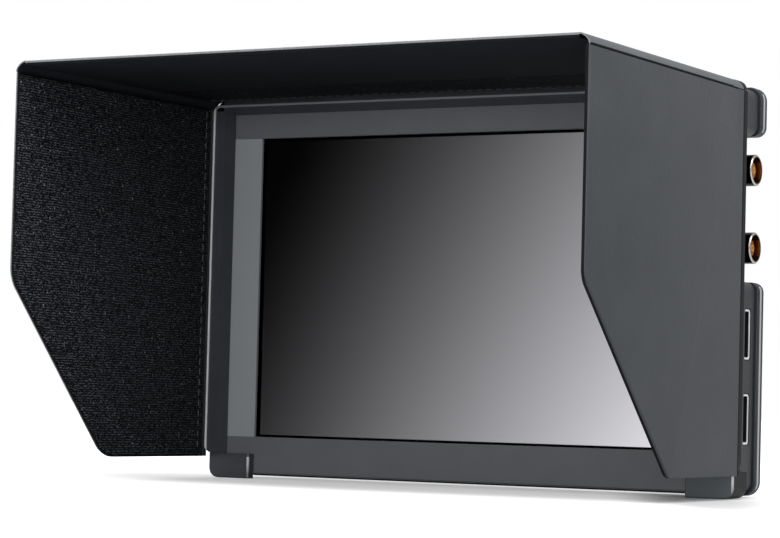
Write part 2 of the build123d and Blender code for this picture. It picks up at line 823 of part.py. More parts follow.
def make_hood_frame():
    with BuildPart() as hood_frame:
        with BuildSketch(facade(-RAIL_TIP)):
            with BuildLine():
                left = [(-RAIL_OUT, LEG_LOW), (-RAIL_OUT, RAIL_TOP - CROWN_H)]
                crown = [(CROWN_W - RAIL_OUT, RAIL_TOP), (RAIL_OUT - CROWN_W, RAIL_TOP)]
                right = [(RAIL_OUT, RAIL_TOP - CROWN_H), (RAIL_OUT, LEG_LOW)]
                Polyline(*left, *crown, *right, close=True)
            make_face()
            fillet(vertices().group_by(Axis.Y)[0], LEG_R)
        extrude(amount=-(RAIL_TIP - PLAY))
        with BuildSketch(facade(-BEAD_TIP)):
            arch(RAIL_OUT, BEAD_TOP, LEG_LOW, BEAD_R)
            fillet(vertices().group_by(Axis.Y)[0], LEG_R)
            with Locations((0, BEAD_TOP - BEAD_W)):
                with BuildSketch(mode=Mode.PRIVATE) as room:
                    arch(RAIL_OUT - BEAD_W, 0, -FAR, BEAD_R - BEAD_W)
                add(room.sketch, mode=Mode.SUBTRACT)
        extrude(amount=-(BEAD_TIP - PLAY))
        fillet(edges().group_by(Axis.Y)[0], BEAD_EDGE)
        with BuildSketch(facade(-PLAY - 1)):
            arch(SKIRT_OUT, SKIRT_TOP, LEG_LOW, SKIRT_R)
        extrude(amount=-(PLAY + 1 + SKIRT_BACK))
        # room for the body behind the rails
        with BuildSketch(facade(-PLAY)):
            arch(SKIRT_IN, BODY_H + PLAY, -FAR, BODY_R)
        extrude(amount=-(SKIRT_BACK + 1), mode=Mode.SUBTRACT)
        # the view, opening out from the foot to the land
        with BuildSketch(facade(-PLAY)):
            with Locations((0, TOP_FOOT)):
                Rectangle(2 * RAIL_FOOT, FAR, align=(Align.CENTER, Align.MAX))
        with BuildSketch(facade(-RAIL_TIP)):
            with Locations((0, TOP_LAND)):
                Rectangle(2 * RAIL_LAND, FAR + TOP_LAND - TOP_FOOT, align=(Align.CENTER, Align.MAX))
        loft(mode=Mode.SUBTRACT)
    save(hood_frame.part, "hood_frame")


# ---- corner clips: hooks under the body's lower corners ----
CLIP_OUT = 93.2
CLIP_IN = 77.6
CLIP_TOP = LEG_LOW
CLIP_LOW = -1.5
CLIP_TIP = 3.4
CLIP_BACK = 7.2
CLIP_R = 3.4
CLIP_EDGE = 0.5
HOOK_IN = 86.0  # only the corner beyond this reaches back under the body


def make_corner_clip(hand, label):
    middle = hand * (CLIP_OUT + CLIP_IN) / 2
    with BuildPart() as corner_clip:
        with BuildSketch(facade(-CLIP_TIP)):
            with Locations((middle, (CLIP_TOP + CLIP_LOW) / 2)):
                Rectangle(CLIP_OUT - CLIP_IN, CLIP_TOP - CLIP_LOW)
            outer_low = vertices().filter_by(lambda v: v.Y < 0 and hand * v.X > CLIP_IN + 1)
            fillet(outer_low, CLIP_R)
        extrude(amount=-(CLIP_TIP + CLIP_BACK))
        with BuildSketch(facade(-PLAY)):
            with Locations((0, MID_Z)):
                RectangleRounded(2 * SKIRT_IN, BODY_H + 2 * PLAY, BODY_R)
            with Locations((0, MID_Z)):
                Rectangle(2 * HOOK_IN, FAR)
        extrude(amount=-(CLIP_BACK + 1), mode=Mode.SUBTRACT)
        fillet(edges().filter_by(Axis.Z).group_by(Axis.Y)[0], CLIP_EDGE)
    save(corner_clip.part, label)


# ---- flaps: bound skin, stiff board and loop lining, and the top flap's soft hems ----
KNEE_R = 6.0
TOE_R = 5.0
BOARD_THICK = FLAP_T - SKIN_T - LINING_T
BAND_D = 27.0  # loop band under the top flap, next to the fold


def round_near(across, up, radius):
    """Round the corner of the current sketch at a place."""
    spot = Vector(across, up)
    fillet(vertices().sort_by(lambda v: (Vector(v.X, v.Y) - spot).length)[0], radius)


def side_outline(fold, inset):
    """Draw a side flap from its fold line to its tip, shrunk by an inset."""
    rear = FRONT_Y - fold - FOLD_GAP
    front = FRONT_Y - FLAP_TIP
    toe = FRONT_Y - KNEE_TIP
    with BuildLine() as outline:
        lower = [(rear, FLAP_LOW), (toe, FLAP_LOW), (front, KNEE_Z)]
        upper = [(front, SIDE_TOP), (rear, SIDE_TOP)]
        Polyline(*lower, *upper, close=True)
    make_face(outline.edges())
    round_near(toe, FLAP_LOW, TOE_R)
    round_near(front, KNEE_Z, KNEE_R)
    if inset:
        offset(amount=-inset, kind=Kind.INTERSECTION, mode=Mode.REPLACE)


def top_outline(inset):
    """Draw the top flap from its fold line to its tip, shrunk by an inset."""
    rear = FRONT_Y - FOLD_TOP - FOLD_GAP
    front = FRONT_Y - FLAP_TIP
    with Locations((0, (rear + front) / 2)):
        Rectangle(2 * (TOP_HALF_W - inset), rear - front - 2 * inset)


def make_side_flap(hand, fold, name):
    inward = -hand
    with BuildPart() as skin:
        with BuildSketch(side(hand * FLAP_OUT)):
            side_outline(fold, 0)
        extrude(amount=inward * FLAP_T)
        with BuildSketch(side(hand * (FLAP_OUT - SKIN_T))):
            side_outline(fold, RIM)
        extrude(amount=inward * FLAP_T, mode=Mode.SUBTRACT)
    save(skin.part, name + "_flap_skin")
    with BuildPart() as board:
        with BuildSketch(side(hand * (FLAP_OUT - SKIN_T))):
            side_outline(fold, RIM)
        extrude(amount=inward * BOARD_THICK)
    save(board.part, name + "_flap_board")
    with BuildPart() as lining:
        with BuildSketch(side(hand * (FLAP_OUT - SKIN_T - BOARD_THICK))):
            side_outline(fold, RIM)
        extrude(amount=inward * LINING_T)
    save(lining.part, name + "_flap_lining")
    rear = FRONT_Y - STRIP_BACK
    front = FRONT_Y - fold - FOLD_GAP
    with BuildPart() as strip:
        with BuildSketch(side(hand * FLAP_OUT)):
            with Locations(((rear + front) / 2, (FLAP_LOW + SIDE_TOP) / 2)):
                Rectangle(rear - front, SIDE_TOP - FLAP_LOW)
        extrude(amount=inward * STRIP_T)
    save(strip.part, name + "_fold_strip")


def hem_run():
    """Where the inner face of the sloping cloth starts and ends, as two distances from the middle."""
    slant = (FLAP_OUT - TOP_HALF_W) / HEM_DROP
    shift = STRIP_T * (1 + slant * slant) ** 0.5
    return (FLAP_OUT - shift, FLAP_OUT - shift - slant * (HEM_DROP - STRIP_T))


def make_top_flap():
    rear = FRONT_Y - FOLD_TOP - FOLD_GAP
    front = FRONT_Y - FLAP_TIP
    hem_foot, hem_head = hem_run()
    with BuildPart() as skin:
        with BuildSketch(level(TOP_FACE)):
            top_outline(0)
        extrude(amount=-FLAP_T)
        with BuildSketch(level(TOP_FACE - SKIN_T)):
            top_outline(RIM)
        extrude(amount=-FLAP_T, mode=Mode.SUBTRACT)
    save(skin.part, "top_flap_skin")
    with BuildPart() as board:
        with BuildSketch(level(TOP_FACE - SKIN_T)):
            top_outline(RIM)
        extrude(amount=-BOARD_THICK)
    save(board.part, "top_flap_board")
    with BuildPart() as lining:
        with BuildSketch(level(TOP_FACE - SKIN_T - BOARD_THICK)):
            top_outline(RIM)
            with Locations((0, rear)):
                Rectangle(FAR, 2 * BAND_D, mode=Mode.SUBTRACT)
        extrude(amount=-LINING_T)
    save(lining.part, "top_flap_lining")
    with BuildPart() as band:
        with BuildSketch(level(TOP_FACE - SKIN_T - BOARD_THICK)):
            with Locations((0, rear - RIM)):
                Rectangle(2 * (TOP_HALF_W - RIM), BAND_D - RIM, align=(Align.CENTER, Align.MAX))
        extrude(amount=-LINING_T)
    save(band.part, "top_loop_band")
    # a soft hem slopes from each long edge of the flap down to the side flap's top edge
    with BuildPart() as hems:
        for hand in (-1, 1):
            with BuildSketch(facade(-FOLD_TOP - FOLD_GAP)):
                with BuildLine():
                    outer = [(hand * TOP_HALF_W, TOP_FACE), (hand * FLAP_OUT, HEM_LOW)]
                    inner = [(hand * hem_foot, HEM_LOW), (hand * TOP_HALF_W, TOP_FACE - STRIP_T)]
                    Polyline(*outer, *inner, close=True)
                make_face()
            extrude(amount=FLAP_TIP - FOLD_TOP - FOLD_GAP)
    save(hems.part, "top_flap_hems")
    with BuildPart() as strip:
        with BuildSketch(facade(-STRIP_BACK)):
            with BuildLine():
                over = [(-FLAP_OUT, HEM_LOW), (-TOP_HALF_W, TOP_FACE), (TOP_HALF_W, TOP_FACE)]
                right_foot = [(FLAP_OUT, HEM_LOW), (hem_foot, HEM_LOW)]
                under = [(hem_head, RAIL_TOP), (-hem_head, RAIL_TOP), (-hem_foot, HEM_LOW)]
                Polyline(*over, *right_foot, *under, close=True)
            make_face()
        extrude(amount=FOLD_TOP + FOLD_GAP - STRIP_BACK)
    save(strip.part, "top_fold_strip")


# ---- build everything ----
make_front_bezel()
make_glass_tape()
make_slab("cover_glass", GLASS_W, GLASS_H, GLASS_DEPTH, GLASS_T, 2.0)
make_slab("lcd_panel", PANEL_W, PANEL_H, PANEL_DEPTH, PANEL_T, 0.5)
make_slab("backlight", LIGHT_W, PANEL_H, LIGHT_DEPTH, LIGHT_T, 1.0)
make_chassis_plate()
make_housing()
make_tripod_insert()
make_rear_cover()
make_cover_screws()
make_mount_inserts()
make_board("main_board", MAIN_X, MAIN_Z, MAIN_W, MAIN_H, MAIN_DEPTH)
make_board("port_board", PORT_BOARD_X, PORT_BOARD_Z, PORT_BOARD_W, PORT_BOARD_H, PORT_BOARD_DEPTH)
make_board("power_board", POWER_BOARD_X, POWER_BOARD_Z, POWER_BOARD_W, POWER_BOARD_H, POWER_BOARD_DEPTH)
make_board_chips()
make_jack_board()
make_jack_bodies()
make_jack_cores()
make_jack_contacts()
make_jack_nuts()
make_hdmi_shells()
make_hdmi_tongues()
make_phone_jack()
make_dc_jack()
make_dc_pin()
for number, button_name in enumerate(BUTTON_NAMES):
    make_button(number, button_name)
make_button_board()
make_button_switches()
make_battery_plate()
make_plate_screws()
make_battery_blades()
make_battery_latch()
make_hood_frame()
make_corner_clip(-1, "corner_clip_left")
make_corner_clip(1, "corner_clip_right")
make_side_flap(-1, FOLD_LEFT, "left")
make_side_flap(1, FOLD_RIGHT, "right")
make_top_flap()
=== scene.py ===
import math

import bpy
from mathutils import Matrix, Vector


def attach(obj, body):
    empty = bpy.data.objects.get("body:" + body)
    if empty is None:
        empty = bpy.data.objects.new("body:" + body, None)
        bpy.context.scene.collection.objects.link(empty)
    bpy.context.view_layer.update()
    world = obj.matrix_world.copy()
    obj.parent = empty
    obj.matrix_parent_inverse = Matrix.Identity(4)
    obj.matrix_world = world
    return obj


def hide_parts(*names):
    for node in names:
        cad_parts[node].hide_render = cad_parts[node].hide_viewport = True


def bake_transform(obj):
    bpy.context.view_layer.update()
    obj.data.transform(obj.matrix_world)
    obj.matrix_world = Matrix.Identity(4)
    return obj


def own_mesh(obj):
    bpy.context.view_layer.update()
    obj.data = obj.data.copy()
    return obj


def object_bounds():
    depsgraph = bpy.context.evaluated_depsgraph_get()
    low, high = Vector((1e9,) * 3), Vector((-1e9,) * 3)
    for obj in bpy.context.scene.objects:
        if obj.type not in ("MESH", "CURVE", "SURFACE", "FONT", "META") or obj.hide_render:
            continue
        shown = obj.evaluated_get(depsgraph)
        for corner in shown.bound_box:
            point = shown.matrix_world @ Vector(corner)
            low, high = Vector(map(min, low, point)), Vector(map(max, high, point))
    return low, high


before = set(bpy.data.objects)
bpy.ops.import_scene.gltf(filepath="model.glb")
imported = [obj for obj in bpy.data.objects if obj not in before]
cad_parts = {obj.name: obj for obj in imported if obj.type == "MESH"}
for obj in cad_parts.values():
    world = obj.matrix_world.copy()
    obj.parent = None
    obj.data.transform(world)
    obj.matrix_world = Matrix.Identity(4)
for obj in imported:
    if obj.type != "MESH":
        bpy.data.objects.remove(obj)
cad_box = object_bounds()

# ------------------------------------------------------------------------------------------------
# Front bezel: a moulded frame of PC/ABS with flat bars above and below the window and side strips
# that slope in to it. The mould was spark-finished, so it gives an even satin with a fine grit. The
# side strips are drawn lighter than the bars, a painted highlight for the light their slope catches.
# ------------------------------------------------------------------------------------------------
WINDOW_HALF = 0.0785  # half the window's width
WINDOW_LOW, WINDOW_HIGH = 0.0122, 0.1110
WINDOW_MIDDLE = (WINDOW_LOW + WINDOW_HIGH) / 2
WINDOW_RISE = (WINDOW_HIGH - WINDOW_LOW) / 2
SLOPE_OUT = 0.0885  # the side strips slope in from here to the window


def linear(code):
    """An sRGB hex colour as linear red, green, blue and alpha."""
    parts = [int(code[i:i + 2], 16) / 255 for i in (1, 3, 5)]
    return [p / 12.92 if p <= 0.04045 else ((p + 0.055) / 1.055) ** 2.4 for p in parts] + [1.0]


def add(tree, kind, settings=None, inputs=None):
    """Add one node, with its settings, and its inputs as values or as sockets to link from."""
    made = tree.nodes.new(kind)
    for name, value in (settings or {}).items():
        setattr(made, name, value)
    for name, value in (inputs or {}).items():
        if isinstance(value, bpy.types.NodeSocket):
            tree.links.new(value, made.inputs[name])
        else:
            made.inputs[name].default_value = value
    return made


def new_finish(name, roughness, metallic=0.0, ior=1.5):
    """A new material, with its tree, its shader and the Object coordinates of the surface."""
    material = bpy.data.materials.new(name)
    material.use_nodes = True
    tree = material.node_tree
    shader = tree.nodes["Principled BSDF"]
    shader.inputs["Roughness"].default_value = roughness
    shader.inputs["Metallic"].default_value = metallic
    if not metallic:
        shader.inputs["IOR"].default_value = ior
    place = add(tree, "ShaderNodeTexCoord").outputs["Object"]
    return material, tree, shader, place


def two_tone(tree, shader, place, low, high, spot_mm):
    """Mottle the base colour between two colours in soft spots of a real size."""
    spots = add(tree, "ShaderNodeTexNoise", None, {"Vector": place, "Scale": 1000 / spot_mm, "Detail": 4.0})
    ramp = add(tree, "ShaderNodeMapRange", None, {
        "Value": spots.outputs["Fac"], "From Min": 0.15, "From Max": 0.85})
    mix = add(tree, "ShaderNodeMix", {"data_type": "RGBA"}, {
        "Factor": ramp.outputs["Result"], "A": linear(low), "B": linear(high)})
    tree.links.new(mix.outputs["Result"], shader.inputs["Base Color"])


def grit(tree, shader, place, grain_mm, depth_mm):
    """Raise a fine random grit of a real grain width and depth."""
    noise = add(tree, "ShaderNodeTexNoise", None, {
        "Vector": place, "Scale": 1000 / grain_mm, "Detail": 3.0})
    bump = add(tree, "ShaderNodeBump", None, {
        "Height": noise.outputs["Fac"], "Distance": depth_mm / 1000, "Strength": 1.0})
    tree.links.new(bump.outputs["Normal"], shader.inputs["Normal"])


def dress(material, *nodes):
    """Give CAD nodes a finish."""
    for node in nodes:
        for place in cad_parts[node].material_slots:
            place.material = material


bezel_abs, tree, shader, place = new_finish("PC-ABS, spark-finished moulding, charcoal", 0.42)
two_tone(tree, shader, place, "#606367", "#66696d", 9.0)
grit(tree, shader, place, 0.45, 0.02)
# Painted highlight: the sloping side strips are drawn paler than the bars, for the light they catch.
spot = add(tree, "ShaderNodeSeparateXYZ", None, {"Vector": place})
side = add(tree, "ShaderNodeMath", {"operation": "ABSOLUTE"}, {0: spot.outputs["X"]})
beside = add(tree, "ShaderNodeMath", {"operation": "COMPARE"}, {
    0: side.outputs[0], 1: (WINDOW_HALF + SLOPE_OUT) / 2, 2: (SLOPE_OUT - WINDOW_HALF) / 2})
level = add(tree, "ShaderNodeMath", {"operation": "COMPARE"}, {
    0: spot.outputs["Z"], 1: WINDOW_MIDDLE, 2: WINDOW_RISE})
on_strip = add(tree, "ShaderNodeMath", {"operation": "MULTIPLY"}, {
    0: beside.outputs[0], 1: level.outputs[0]})
mottle = shader.inputs["Base Color"].links[0].from_socket
strip_highlight = add(tree, "ShaderNodeMix", {"data_type": "RGBA"}, {
    "Factor": on_strip.outputs[0], "A": mottle, "B": linear("#8f9397")})
tree.links.new(strip_highlight.outputs["Result"], shader.inputs["Base Color"])
dress(bezel_abs, "front_bezel")

# ------------------------------------------------------------------------------------------------
# Display: a toughened cover glass taped behind the bezel, and the panel lit behind it. The panel
# glows with a smooth grey ramp, nearly black in the upper left corner and pale in the lower right
# one, inside a narrow black mask: a painted sheen, the screen's reflection laid in as its glow.
# ------------------------------------------------------------------------------------------------
MASK = 0.0008  # width of the black mask round the picture
ACTIVE_HALF = WINDOW_HALF - MASK
ACTIVE_RISE = WINDOW_RISE - MASK
RAMP_MIDDLE = 0.44  # grey in the middle of the screen, as a display value from 0 to 1
RAMP_ACROSS = 0.35  # how much it gains from the middle to the right edge
RAMP_DOWN = 0.135  # and from the middle to the lower edge
RAMP_CORNER = 0.025  # and what the lower right corner gains besides
RAMP_BLACK = 0.03  # the painted sheen never falls to full black
DISPLAY_GAMMA = 2.2

# The panel glows by itself and hardly reflects; its glow is a painted sheen, even from every side.
panel_with_painted_sheen, tree, shader, place = new_finish("LCD panel glowing with a painted sheen", 0.35)
shader.inputs["Base Color"].default_value = linear("#050506")
shader.inputs["Specular IOR Level"].default_value = 0.03

# The painted sheen gets lighter to the right and downwards from the middle of the window.
spot = add(tree, "ShaderNodeSeparateXYZ", None, {"Vector": place})
across = add(tree, "ShaderNodeMath", {"operation": "DIVIDE"}, {0: spot.outputs["X"], 1: ACTIVE_HALF})
drop = add(tree, "ShaderNodeMath", {"operation": "SUBTRACT"}, {0: WINDOW_MIDDLE, 1: spot.outputs["Z"]})
down = add(tree, "ShaderNodeMath", {"operation": "DIVIDE"}, {0: drop.outputs[0], 1: ACTIVE_RISE})
level = add(tree, "ShaderNodeMath", {"operation": "MULTIPLY_ADD"}, {
    0: across.outputs[0], 1: RAMP_ACROSS, 2: RAMP_MIDDLE})
level = add(tree, "ShaderNodeMath", {"operation": "MULTIPLY_ADD"}, {
    0: down.outputs[0], 1: RAMP_DOWN, 2: level.outputs[0]})
corner = add(tree, "ShaderNodeMath", {"operation": "MULTIPLY"}, {0: across.outputs[0], 1: down.outputs[0]})
level = add(tree, "ShaderNodeMath", {"operation": "MULTIPLY_ADD"}, {
    0: corner.outputs[0], 1: RAMP_CORNER, 2: level.outputs[0]})
level = add(tree, "ShaderNodeMath", {"operation": "MAXIMUM"}, {0: level.outputs[0], 1: RAMP_BLACK})
light = add(tree, "ShaderNodeMath", {"operation": "POWER"}, {0: level.outputs[0], 1: DISPLAY_GAMMA})

# Outside the ramp, under the mask, nothing glows.
out_across = add(tree, "ShaderNodeMath", {"operation": "ABSOLUTE"}, {0: across.outputs[0]})
out_down = add(tree, "ShaderNodeMath", {"operation": "ABSOLUTE"}, {0: down.outputs[0]})
farthest = add(tree, "ShaderNodeMath", {"operation": "MAXIMUM"}, {
    0: out_across.outputs[0], 1: out_down.outputs[0]})
inside = add(tree, "ShaderNodeMath", {"operation": "LESS_THAN"}, {0: farthest.outputs[0], 1: 1.0})
shown = add(tree, "ShaderNodeMath", {"operation": "MULTIPLY"}, {0: light.outputs[0], 1: inside.outputs[0]})
glow = add(tree, "ShaderNodeMix", {"data_type": "RGBA"}, {
    "Factor": shown.outputs[0], "A": (0, 0, 0, 1), "B": linear("#f9f7fd")})
tree.links.new(glow.outputs["Result"], shader.inputs["Emission Color"])
shader.inputs["Emission Strength"].default_value = 1.0
dress(panel_with_painted_sheen, "lcd_panel")

# The coating on the glass leaves almost no reflection, so the panel looks bare behind it.
cover_glass, tree, shader, place = new_finish(
    "Toughened cover glass, anti-reflective coating", 0.02, ior=1.07)
shader.inputs["Transmission Weight"].default_value = 1.0
two_tone(tree, shader, place, "#fbfcfc", "#feffff", 40.0)
dress(cover_glass, "cover_glass")

# Foam tape is dull and pitted, and keeps light out of the joint round the panel.
black_tape, tree, shader, place = new_finish("Black foam tape", 0.9)
two_tone(tree, shader, place, "#0b0b0c", "#121213", 2.0)
grit(tree, shader, place, 0.3, 0.05)
dress(black_tape, "glass_tape", "backlight")

# ------------------------------------------------------------------------------------------------
# Housing and rear cover: cast alloy, powder coated in dark grey. The coat gives a soft gloss with a
# fine orange peel. It is drawn duller on the cover. A pale line along the cover's proud edge is a
# painted highlight.
# ------------------------------------------------------------------------------------------------
HOUSING_SIDE = 0.0910  # half the housing's width
HOUSING_MIDDLE = 0.0615  # the housing stands on z = 0, so this is also half its height
LIP = 0.0004  # only the cover's lip stands further out from the housing than this
COVER_FRONT = 0.0055  # the cover's coat, behind here, is duller than the housing's
COVER_BLEND = 0.0003  # depth over which the coat changes
HOUSING_SHINE, COVER_SHINE = 0.5, 0.3
COVER_HIGHLIGHT_AT = 0.0079  # a painted highlight: the pale line round the proud cover
COVER_HIGHLIGHT_WIDTH = 0.0012  # its width

coated_alloy, tree, shader, place = new_finish("Cast aluminium, powder coated dark grey", 0.36)
two_tone(tree, shader, place, "#2b2e33", "#33363c", 14.0)
grit(tree, shader, place, 0.6, 0.025)
shader.inputs["Coat Weight"].default_value = 0.1
shader.inputs["Coat Roughness"].default_value = 0.35
plain = shader.inputs["Base Color"].links[0].from_socket
spot = add(tree, "ShaderNodeSeparateXYZ", None, {"Vector": place})
shine = add(tree, "ShaderNodeMapRange", None, {
    "Value": spot.outputs["Y"], "From Min": COVER_FRONT, "From Max": COVER_FRONT + COVER_BLEND,
    "To Min": HOUSING_SHINE, "To Max": COVER_SHINE})
tree.links.new(shine.outputs["Result"], shader.inputs["Specular IOR Level"])

# A painted highlight: the pale line along the ridge of the cover's lip.
aside = add(tree, "ShaderNodeMath", {"operation": "ABSOLUTE"}, {0: spot.outputs["X"]})
past_side = add(tree, "ShaderNodeMath", {"operation": "SUBTRACT"}, {
    0: aside.outputs[0], 1: HOUSING_SIDE + LIP})
height = add(tree, "ShaderNodeMath", {"operation": "SUBTRACT"}, {0: spot.outputs["Z"], 1: HOUSING_MIDDLE})
height = add(tree, "ShaderNodeMath", {"operation": "ABSOLUTE"}, {0: height.outputs[0]})
past_end = add(tree, "ShaderNodeMath", {"operation": "SUBTRACT"}, {
    0: height.outputs[0], 1: HOUSING_MIDDLE + LIP})
outside = add(tree, "ShaderNodeMath", {"operation": "MAXIMUM"}, {
    0: past_side.outputs[0], 1: past_end.outputs[0]})
on_lip = add(tree, "ShaderNodeMath", {"operation": "GREATER_THAN"}, {0: outside.outputs[0], 1: 0.0})
on_ridge = add(tree, "ShaderNodeMath", {"operation": "COMPARE"}, {
    0: spot.outputs["Y"], 1: COVER_HIGHLIGHT_AT, 2: COVER_HIGHLIGHT_WIDTH / 2})
highlight_mask = add(tree, "ShaderNodeMath", {"operation": "MULTIPLY"}, {
    0: on_lip.outputs[0], 1: on_ridge.outputs[0]})
highlighted = add(tree, "ShaderNodeMix", {"data_type": "RGBA"}, {
    "Factor": highlight_mask.outputs[0], "A": plain, "B": linear("#b9bbbf")})
tree.links.new(highlighted.outputs["Result"], shader.inputs["Base Color"])
dress(coated_alloy, "housing", "rear_cover")

# ------------------------------------------------------------------------------------------------
# Jacks and sockets: bayonet jacks turned from brass and plated, with an amber insulator and a gilt
# centre contact; video sockets folded from plated steel round a black tongue. Their mouths are drawn
# bright; the sockets' insides and the front lips of their rims are drawn dark, a painted shade.
# ------------------------------------------------------------------------------------------------
JACK_MOUTH = 0.0907  # the plating is left bright from here out, and blackened behind
JACK_LOW, JACK_HIGH = 0.0745, 0.0983  # heights of the two jacks' axes
JACK_LINE = 0.0053  # how far back the axes lie
JACK_BORE = 0.0042  # the bore is gilded out to this radius
WAVE_PER_MM = 314  # a wave texture of this scale repeats every millimetre
TURN_MM = 3.14 / 6  # the tool left six turning marks in about 3 mm
TURN_DEEP = 0.00003  # depth of the marks
SHELL_MOUTH = 0.0905  # the folded rims of the video sockets are bright from here out
SHELL_SHADE = -0.0016  # the rims' front lips, before here, are drawn dark, a painted shade from the recess round each socket
SHELL_BLEND = 0.0006  # depth over which the tarnish fades
SHADED_SHARE = 0.15  # how much of the brightness is left there

# Black nickel is dark and glossy, with fine rings from the lathe.
nickel, tree, shader, place = new_finish("Turned brass, black nickel with a bright mouth", 0.2, metallic=1.0)
two_tone(tree, shader, place, "#17171a", "#26262a", 1.2)
dark = shader.inputs["Base Color"].links[0].from_socket
spot = add(tree, "ShaderNodeSeparateXYZ", None, {"Vector": place})
bright = add(tree, "ShaderNodeMath", {"operation": "GREATER_THAN"}, {0: spot.outputs["X"], 1: JACK_MOUTH})
plating = add(tree, "ShaderNodeMix", {"data_type": "RGBA"}, {
    "Factor": bright.outputs[0], "A": dark, "B": linear("#e6e3dd")})

# Gilt lines each jack's bore, out to a radius from the axis of the nearer jack.
off_middle = add(tree, "ShaderNodeMath", {"operation": "SUBTRACT"}, {
    0: spot.outputs["Z"], 1: (JACK_LOW + JACK_HIGH) / 2})
off_middle = add(tree, "ShaderNodeMath", {"operation": "ABSOLUTE"}, {0: off_middle.outputs[0]})
off_height = add(tree, "ShaderNodeMath", {"operation": "SUBTRACT"}, {
    0: off_middle.outputs[0], 1: (JACK_HIGH - JACK_LOW) / 2})
off_depth = add(tree, "ShaderNodeMath", {"operation": "SUBTRACT"}, {0: spot.outputs["Y"], 1: JACK_LINE})
off_axis = add(tree, "ShaderNodeCombineXYZ", None, {"Y": off_depth.outputs[0], "Z": off_height.outputs[0]})
out_axis = add(tree, "ShaderNodeVectorMath", {"operation": "LENGTH"}, {0: off_axis.outputs["Vector"]})
in_bore = add(tree, "ShaderNodeMath", {"operation": "LESS_THAN"}, {
    0: out_axis.outputs["Value"], 1: JACK_BORE})
gilded = add(tree, "ShaderNodeMix", {"data_type": "RGBA"}, {
    "Factor": in_bore.outputs[0], "A": plating.outputs["Result"], "B": linear("#b08a62")})
tree.links.new(gilded.outputs["Result"], shader.inputs["Base Color"])

# The lathe's rings.
turning = add(tree, "ShaderNodeTexWave", {"bands_direction": "X"}, {
    "Vector": place, "Scale": WAVE_PER_MM / TURN_MM, "Distortion": 0.4})
bump = add(tree, "ShaderNodeBump", None, {
    "Height": turning.outputs["Fac"], "Distance": TURN_DEEP, "Strength": 0.6})
tree.links.new(bump.outputs["Normal"], shader.inputs["Normal"])
dress(nickel, "jack_bodies", "jack_nuts")

# The insulator is smooth and waxy, and uneven in colour where light sinks into it.
amber, tree, shader, place = new_finish("PTFE insulator, amber", 0.3)
two_tone(tree, shader, place, "#7a4012", "#b8692a", 1.5)
dress(amber, "jack_cores")

# Thin gold over nickel is bright but not a mirror, because the contacts are stamped.
gilt, tree, shader, place = new_finish("Gold-plated contact", 0.22, metallic=0.6)
two_tone(tree, shader, place, "#e0a850", "#f2c36a", 1.0)
grit(tree, shader, place, 0.2, 0.004)
dress(gilt, "jack_contacts", "battery_blades")

# The shells are drawn dark inside, a painted shade, and their folded rims shine as a thin bright frame.
plated_steel, tree, shader, place = new_finish("Folded steel, bright tin plate", 0.3, metallic=0.15)
two_tone(tree, shader, place, "#1a1a1c", "#242426", 2.0)
inside = shader.inputs["Base Color"].links[0].from_socket
spot = add(tree, "ShaderNodeSeparateXYZ", None, {"Vector": place})
at_mouth = add(tree, "ShaderNodeMath", {"operation": "GREATER_THAN"}, {
    0: spot.outputs["X"], 1: SHELL_MOUTH})
unshaded = add(tree, "ShaderNodeMapRange", None, {
    "Value": spot.outputs["Y"], "From Min": SHELL_SHADE, "From Max": SHELL_SHADE + SHELL_BLEND,
    "To Min": SHADED_SHARE})
at_mouth = add(tree, "ShaderNodeMath", {"operation": "MULTIPLY"}, {
    0: at_mouth.outputs[0], 1: unshaded.outputs[0]})
plate = add(tree, "ShaderNodeMix", {"data_type": "RGBA"}, {
    "Factor": at_mouth.outputs[0], "A": inside, "B": linear("#ffffff")})
tree.links.new(plate.outputs["Result"], shader.inputs["Base Color"])
grit(tree, shader, place, 0.4, 0.004)
dress(plated_steel, "hdmi_shells", "dc_pin")

# Filled nylon moulds to a half-matt black with a faint grain.
black_nylon, tree, shader, place = new_finish("Glass-filled nylon, black", 0.45)
two_tone(tree, shader, place, "#0e0e10", "#17171a", 2.5)
grit(tree, shader, place, 0.35, 0.02)
dress(black_nylon, "hdmi_tongues", "phone_jack", "dc_jack", "button_switches", "board_chips")

# ------------------------------------------------------------------------------------------------
# Inside: a zinc-plated chassis plate and green glass-epoxy boards. Little of them shows, only
# through the vents and the joint line.
# ------------------------------------------------------------------------------------------------
# Zinc plate is a cool, slightly clouded metal.
zinc, tree, shader, place = new_finish("Zinc-plated steel sheet", 0.35, metallic=1.0)
two_tone(tree, shader, place, "#9da1a4", "#b4b8bb", 6.0)
grit(tree, shader, place, 0.8, 0.01)
dress(zinc, "chassis_plate", "tripod_insert")

# The solder mask is a glossy green lacquer over the weave of the board.
board_mask, tree, shader, place = new_finish("Glass-epoxy board, green solder mask", 0.3)
two_tone(tree, shader, place, "#12472c", "#185a38", 5.0)
grit(tree, shader, place, 0.5, 0.02)
dress(board_mask, "main_board", "port_board", "power_board", "jack_board", "button_board")

# The inserts are bare brass, warm and a little rough from knurling.
brass, tree, shader, place = new_finish("Knurled brass insert", 0.3, metallic=1.0)
two_tone(tree, shader, place, "#b08d4c", "#c7a35f", 2.0)
grit(tree, shader, place, 0.4, 0.02)
dress(brass, "mount_inserts")

# ------------------------------------------------------------------------------------------------
# Fastenings, buttons and battery plate: black-oxide screws, satin keys on the top edge, and a
# textured plate of glass-filled plastic on the back with its catch.
# ------------------------------------------------------------------------------------------------
# Black oxide leaves the steel a dark, oily sheen.
black_oxide, tree, shader, place = new_finish("Alloy steel, black oxide", 0.38, metallic=1.0)
two_tone(tree, shader, place, "#2a2a2c", "#3a3a3d", 1.5)
grit(tree, shader, place, 0.3, 0.006)
dress(black_oxide, "cover_screws", "plate_screws")

